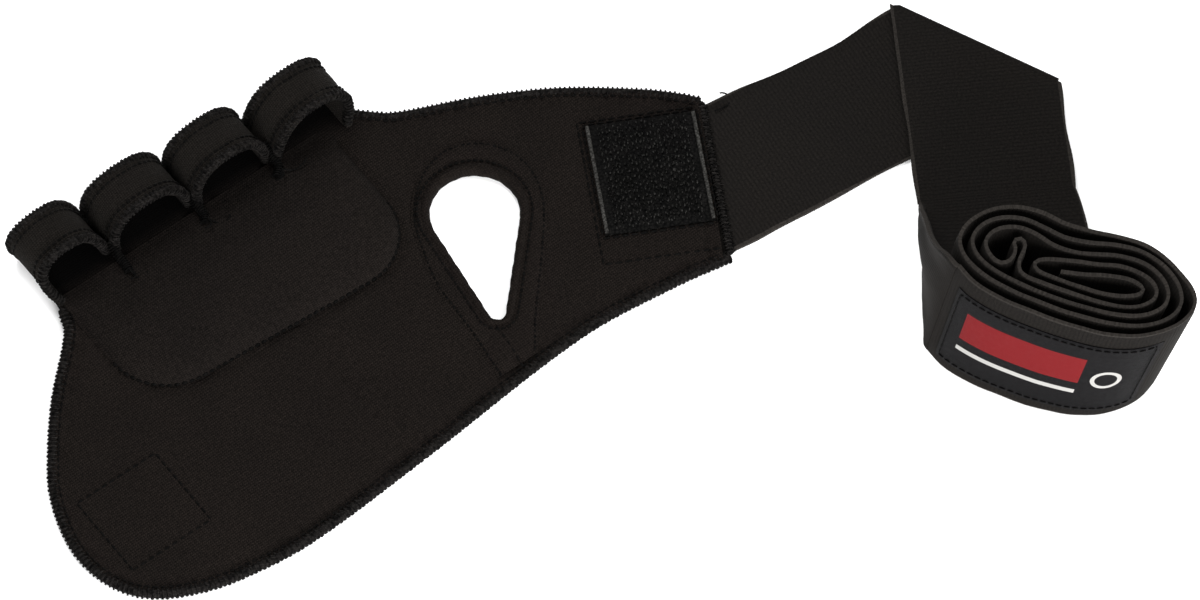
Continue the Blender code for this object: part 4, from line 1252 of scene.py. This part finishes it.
def make_hook_tab():
    """The hook tab on the wrap's inner end, on the face that meets the wrist last."""
    path = offset_path(layer_path(CORE[-5:]), 1.15 * MM)
    tab, span = standing_ribbon("wrap_end_tab", path, 4 * MM, 42 * MM, 0.9 * MM)
    place(lean_over(tab), HOOK_GROUND, "hook_tape", "wrap_rolled")
    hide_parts("wrap_end_hook_tab")


def folding_section(share, width):
    """Across the wrap, from the edge still on the floor to the lifted one: where it lies and which way it faces."""
    bend = 7 * MM
    fold = (width + 2 * bend) * (1 - share) - bend
    steps = 96
    spots, angles = [(0.0, 0.0)], []
    for i in range(steps):
        past = (width * (i + 0.5) / steps - fold + bend) / (2 * bend)
        past = min(max(past, 0.0), 1.0)
        angle = math.pi / 2 * past * past * (3 - 2 * past)
        angles.append(angle)
        x, z = spots[-1]
        spots.append((x + math.cos(angle) * width / steps, z + math.sin(angle) * width / steps))
    return spots, angles + [angles[-1]]


def make_twist():
    """The wrap turns from flat to standing: the fold crosses its width, with creases where its edge lifts."""
    begin = heading(DRAWN_HEADING)
    width = WRAP_WIDTH - 0.8 * MM
    end = in_roll(*mm([OUTER_TURN[0]])[0])
    arrive = (in_roll(*mm([OUTER_TURN[1]])[0]) - end).normalized()
    start = DRAWN_END - begin * 1.0 * MM - left_of(begin) * width / 2
    foot = ROLL_FOOT - ROLL_CENTRE
    controls = [start, start + begin * 14 * MM, end + foot - arrive * 7 * MM, end + foot]
    sections = 72
    folds = []
    for i in range(sections + 1):
        t = i / sections
        s = 1 - t
        weights = (s**3, 3 * s * s * t, 3 * s * t * t, t**3)
        folds.append(sum((p * w for p, w in zip(controls, weights)), Vector((0, 0))))
    length = sum((b - a).length for a, b in zip(folds, folds[1:])) * 1.12
    straight = [Vector((length * i / sections, 0, 0)) for i in range(sections + 1)]
    across = [Vector((0, 1, 0))] * (sections + 1)
    facing = [Vector((0, 0, 1))] * (sections + 1)
    twist = ribbon("wrap_twisting_up", straight, across, facing, width, WRAP_PLY, 48)
    shapes = [folding_section((i / sections) ** 0.8, width) for i in range(sections + 1)]
    for vert in twist.data.vertices:
        u, v, lift = vert.co
        t = min(max(u / length, 0.0), 1.0)
        i = min(int(round(t * sections)), sections)
        spots, angles = shapes[i]
        k = min(max(int(round((v / width + 0.5) * 96)), 0), 96)
        ahead = (folds[min(i + 1, sections)] - folds[max(i - 1, 0)]).normalized()
        side = (left_of(begin) * (1 - t) + left_of(ahead) * t).normalized()
        x, z = spots[k]
        early = min(max((0.6 - t) / 0.35, 0.0), 1.0)
        full = (width + 14 * MM * t) / max(spots[-1][0], 4 * MM)
        stretch = 1 + (full - 1) * early * early * (3 - 2 * early)
        calm = math.sin(math.pi * t) ** 1.2
        gathered = math.sin(13 * math.atan2(width / 2 - v, u + 5 * MM)) + 0.6 * ripple(u * 0.5, v, 7 * MM, 3.0)
        push = lift + gathered * calm * 0.7 * MM * math.sin(angles[k])
        flat = side * ((spots[-1][0] - x) * stretch + math.sin(angles[k]) * push) - foot * (t * z / WRAP_WIDTH)
        level = (1.6 * MM + WRAP_THICKNESS / 2) * (1 - t) + 0.6 * MM * t
        vert.co = (folds[i].x + flat.x, folds[i].y + flat.y, level + z + math.cos(angles[k]) * lift)
    bend = fold_strip("wrap_second", "wrap_rolled", SECOND_END, begin, 20 * MM)
    place(twist, ELASTIC, "elastic", bend=bend)
    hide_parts("wrap_twist")


def make_wrap_stitching():
    """The wrap's sewn end: box stitching through the panel and a dense zigzag at the panel's end."""
    half = 26.0 * MM
    corners = [end_point(out * MM, along) for out, along in ((-3, half), (-40, half), (-40, -half), (-3, -half))]
    path = []
    for a, b in zip(corners, corners[1:]):
        path += [a + (b - a) * i / 12 for i in range(12)]
    path = raised(path + [corners[-1]], PANEL_TOP + 0.1 * MM)
    row = sewn("wrap_box_stitching", path, (2.4 * MM, 0.7 * MM, 0.38 * MM), body="thumb_side")
    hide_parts("wrap_box_seam")
    half = END_HALF - 3.5 * MM
    teeth = 44
    zigzag = []
    for i in range(teeth + 1):
        out = (-0.9 if i % 2 else 1.7) * MM
        spot = end_point(out, -half + 2 * half * i / teeth)
        zigzag.append(Vector((spot.x, spot.y, (3.2 if i % 2 else 1.5) * MM)))
    ends = raised([end_point(-0.2 * MM, -half - 1 * MM), end_point(-0.2 * MM, half + 1 * MM)], 1.9 * MM)
    bead = overlocked_edge("panel_end_bead", ends, 1.15 * MM, 1.3 * MM)
    seam = joined("panel_end_zigzag", [tube("zigzag", zigzag, 0.42 * MM, 6), bead])
    place(seam, THREAD, "thread", "thumb_side")
    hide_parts("panel_end_seam")
    start = Vector((*end_point(3.2 * MM, 24 * MM), 1.9 * MM))
    place(thread_tail("wrap_end_thread", start, heading(-0.3), 12 * MM, 3.2, 1), STITCHING, "thread", "wrap_first")


# ---------------------------------------------------------------- the grip

make_panel()
make_panel_edges()
make_pad()
make_finger_loops()
make_crotch_seams()
make_thumb_hole()
make_hook_patch()
make_loop_patch()
make_straight_runs()
make_twist()
make_roll()
make_hook_tab()
make_wrap_stitching()


# ---------------------------------------------------------------- floor, light and camera

LENS, SENSOR = 500, 36
VIEW_WIDTH = 0.375  # of the floor, in metres


def make_floor():
    bpy.ops.object.select_all(action="DESELECT")
    bpy.ops.mesh.primitive_plane_add(size=8, location=(0.08, -0.08, -0.0004))
    floor = bpy.context.object
    floor.name = "floor"
    finish = Finish("Pale paper", 0.9)
    finish.inputs["Base Color"].default_value = (0.9, 0.9, 0.9, 1)
    floor.data.materials.append(finish.material)


def soft_light(name, place_at, size, power):
    data = bpy.data.lights.new(name, "AREA")
    data.shape = "DISK"
    data.size = size
    data.energy = power
    lamp = bpy.data.objects.new(name, data)
    bpy.context.scene.collection.objects.link(lamp)
    lamp.location = place_at
    aim = Vector((0.07, -0.08, 0)) - Vector(place_at)
    lamp.rotation_euler = aim.to_track_quat("-Z", "Y").to_euler()


def make_camera():
    data = bpy.data.cameras.new("camera")
    data.lens = LENS
    data.sensor_width = SENSOR
    camera = bpy.data.objects.new("camera", data)
    bpy.context.scene.collection.objects.link(camera)
    look = Vector((0.3, 0.4, -math.sqrt(0.75)))
    camera.location = Vector((0.0788, -0.0816, 0)) - look * VIEW_WIDTH * LENS / SENSOR
    camera.rotation_euler = look.to_track_quat("-Z", "Y").to_euler()
    bpy.context.scene.camera = camera


make_floor()
soft_light("key", (0.1, 0.6, 1.1), 0.7, 13)
soft_light("fill", (0.75, -0.45, 0.8), 0.9, 7)
soft_light("low", (-0.3, -1.0, 0.3), 0.8, 33)
world = bpy.data.worlds.new("studio")
world.use_nodes = True
world.node_tree.nodes["Background"].inputs["Color"].default_value = (1, 1, 1, 1)
world.node_tree.nodes["Background"].inputs["Strength"].default_value = 0.75
bpy.context.scene.world = world
bpy.context.scene.view_settings.view_transform = "Standard"
make_camera()
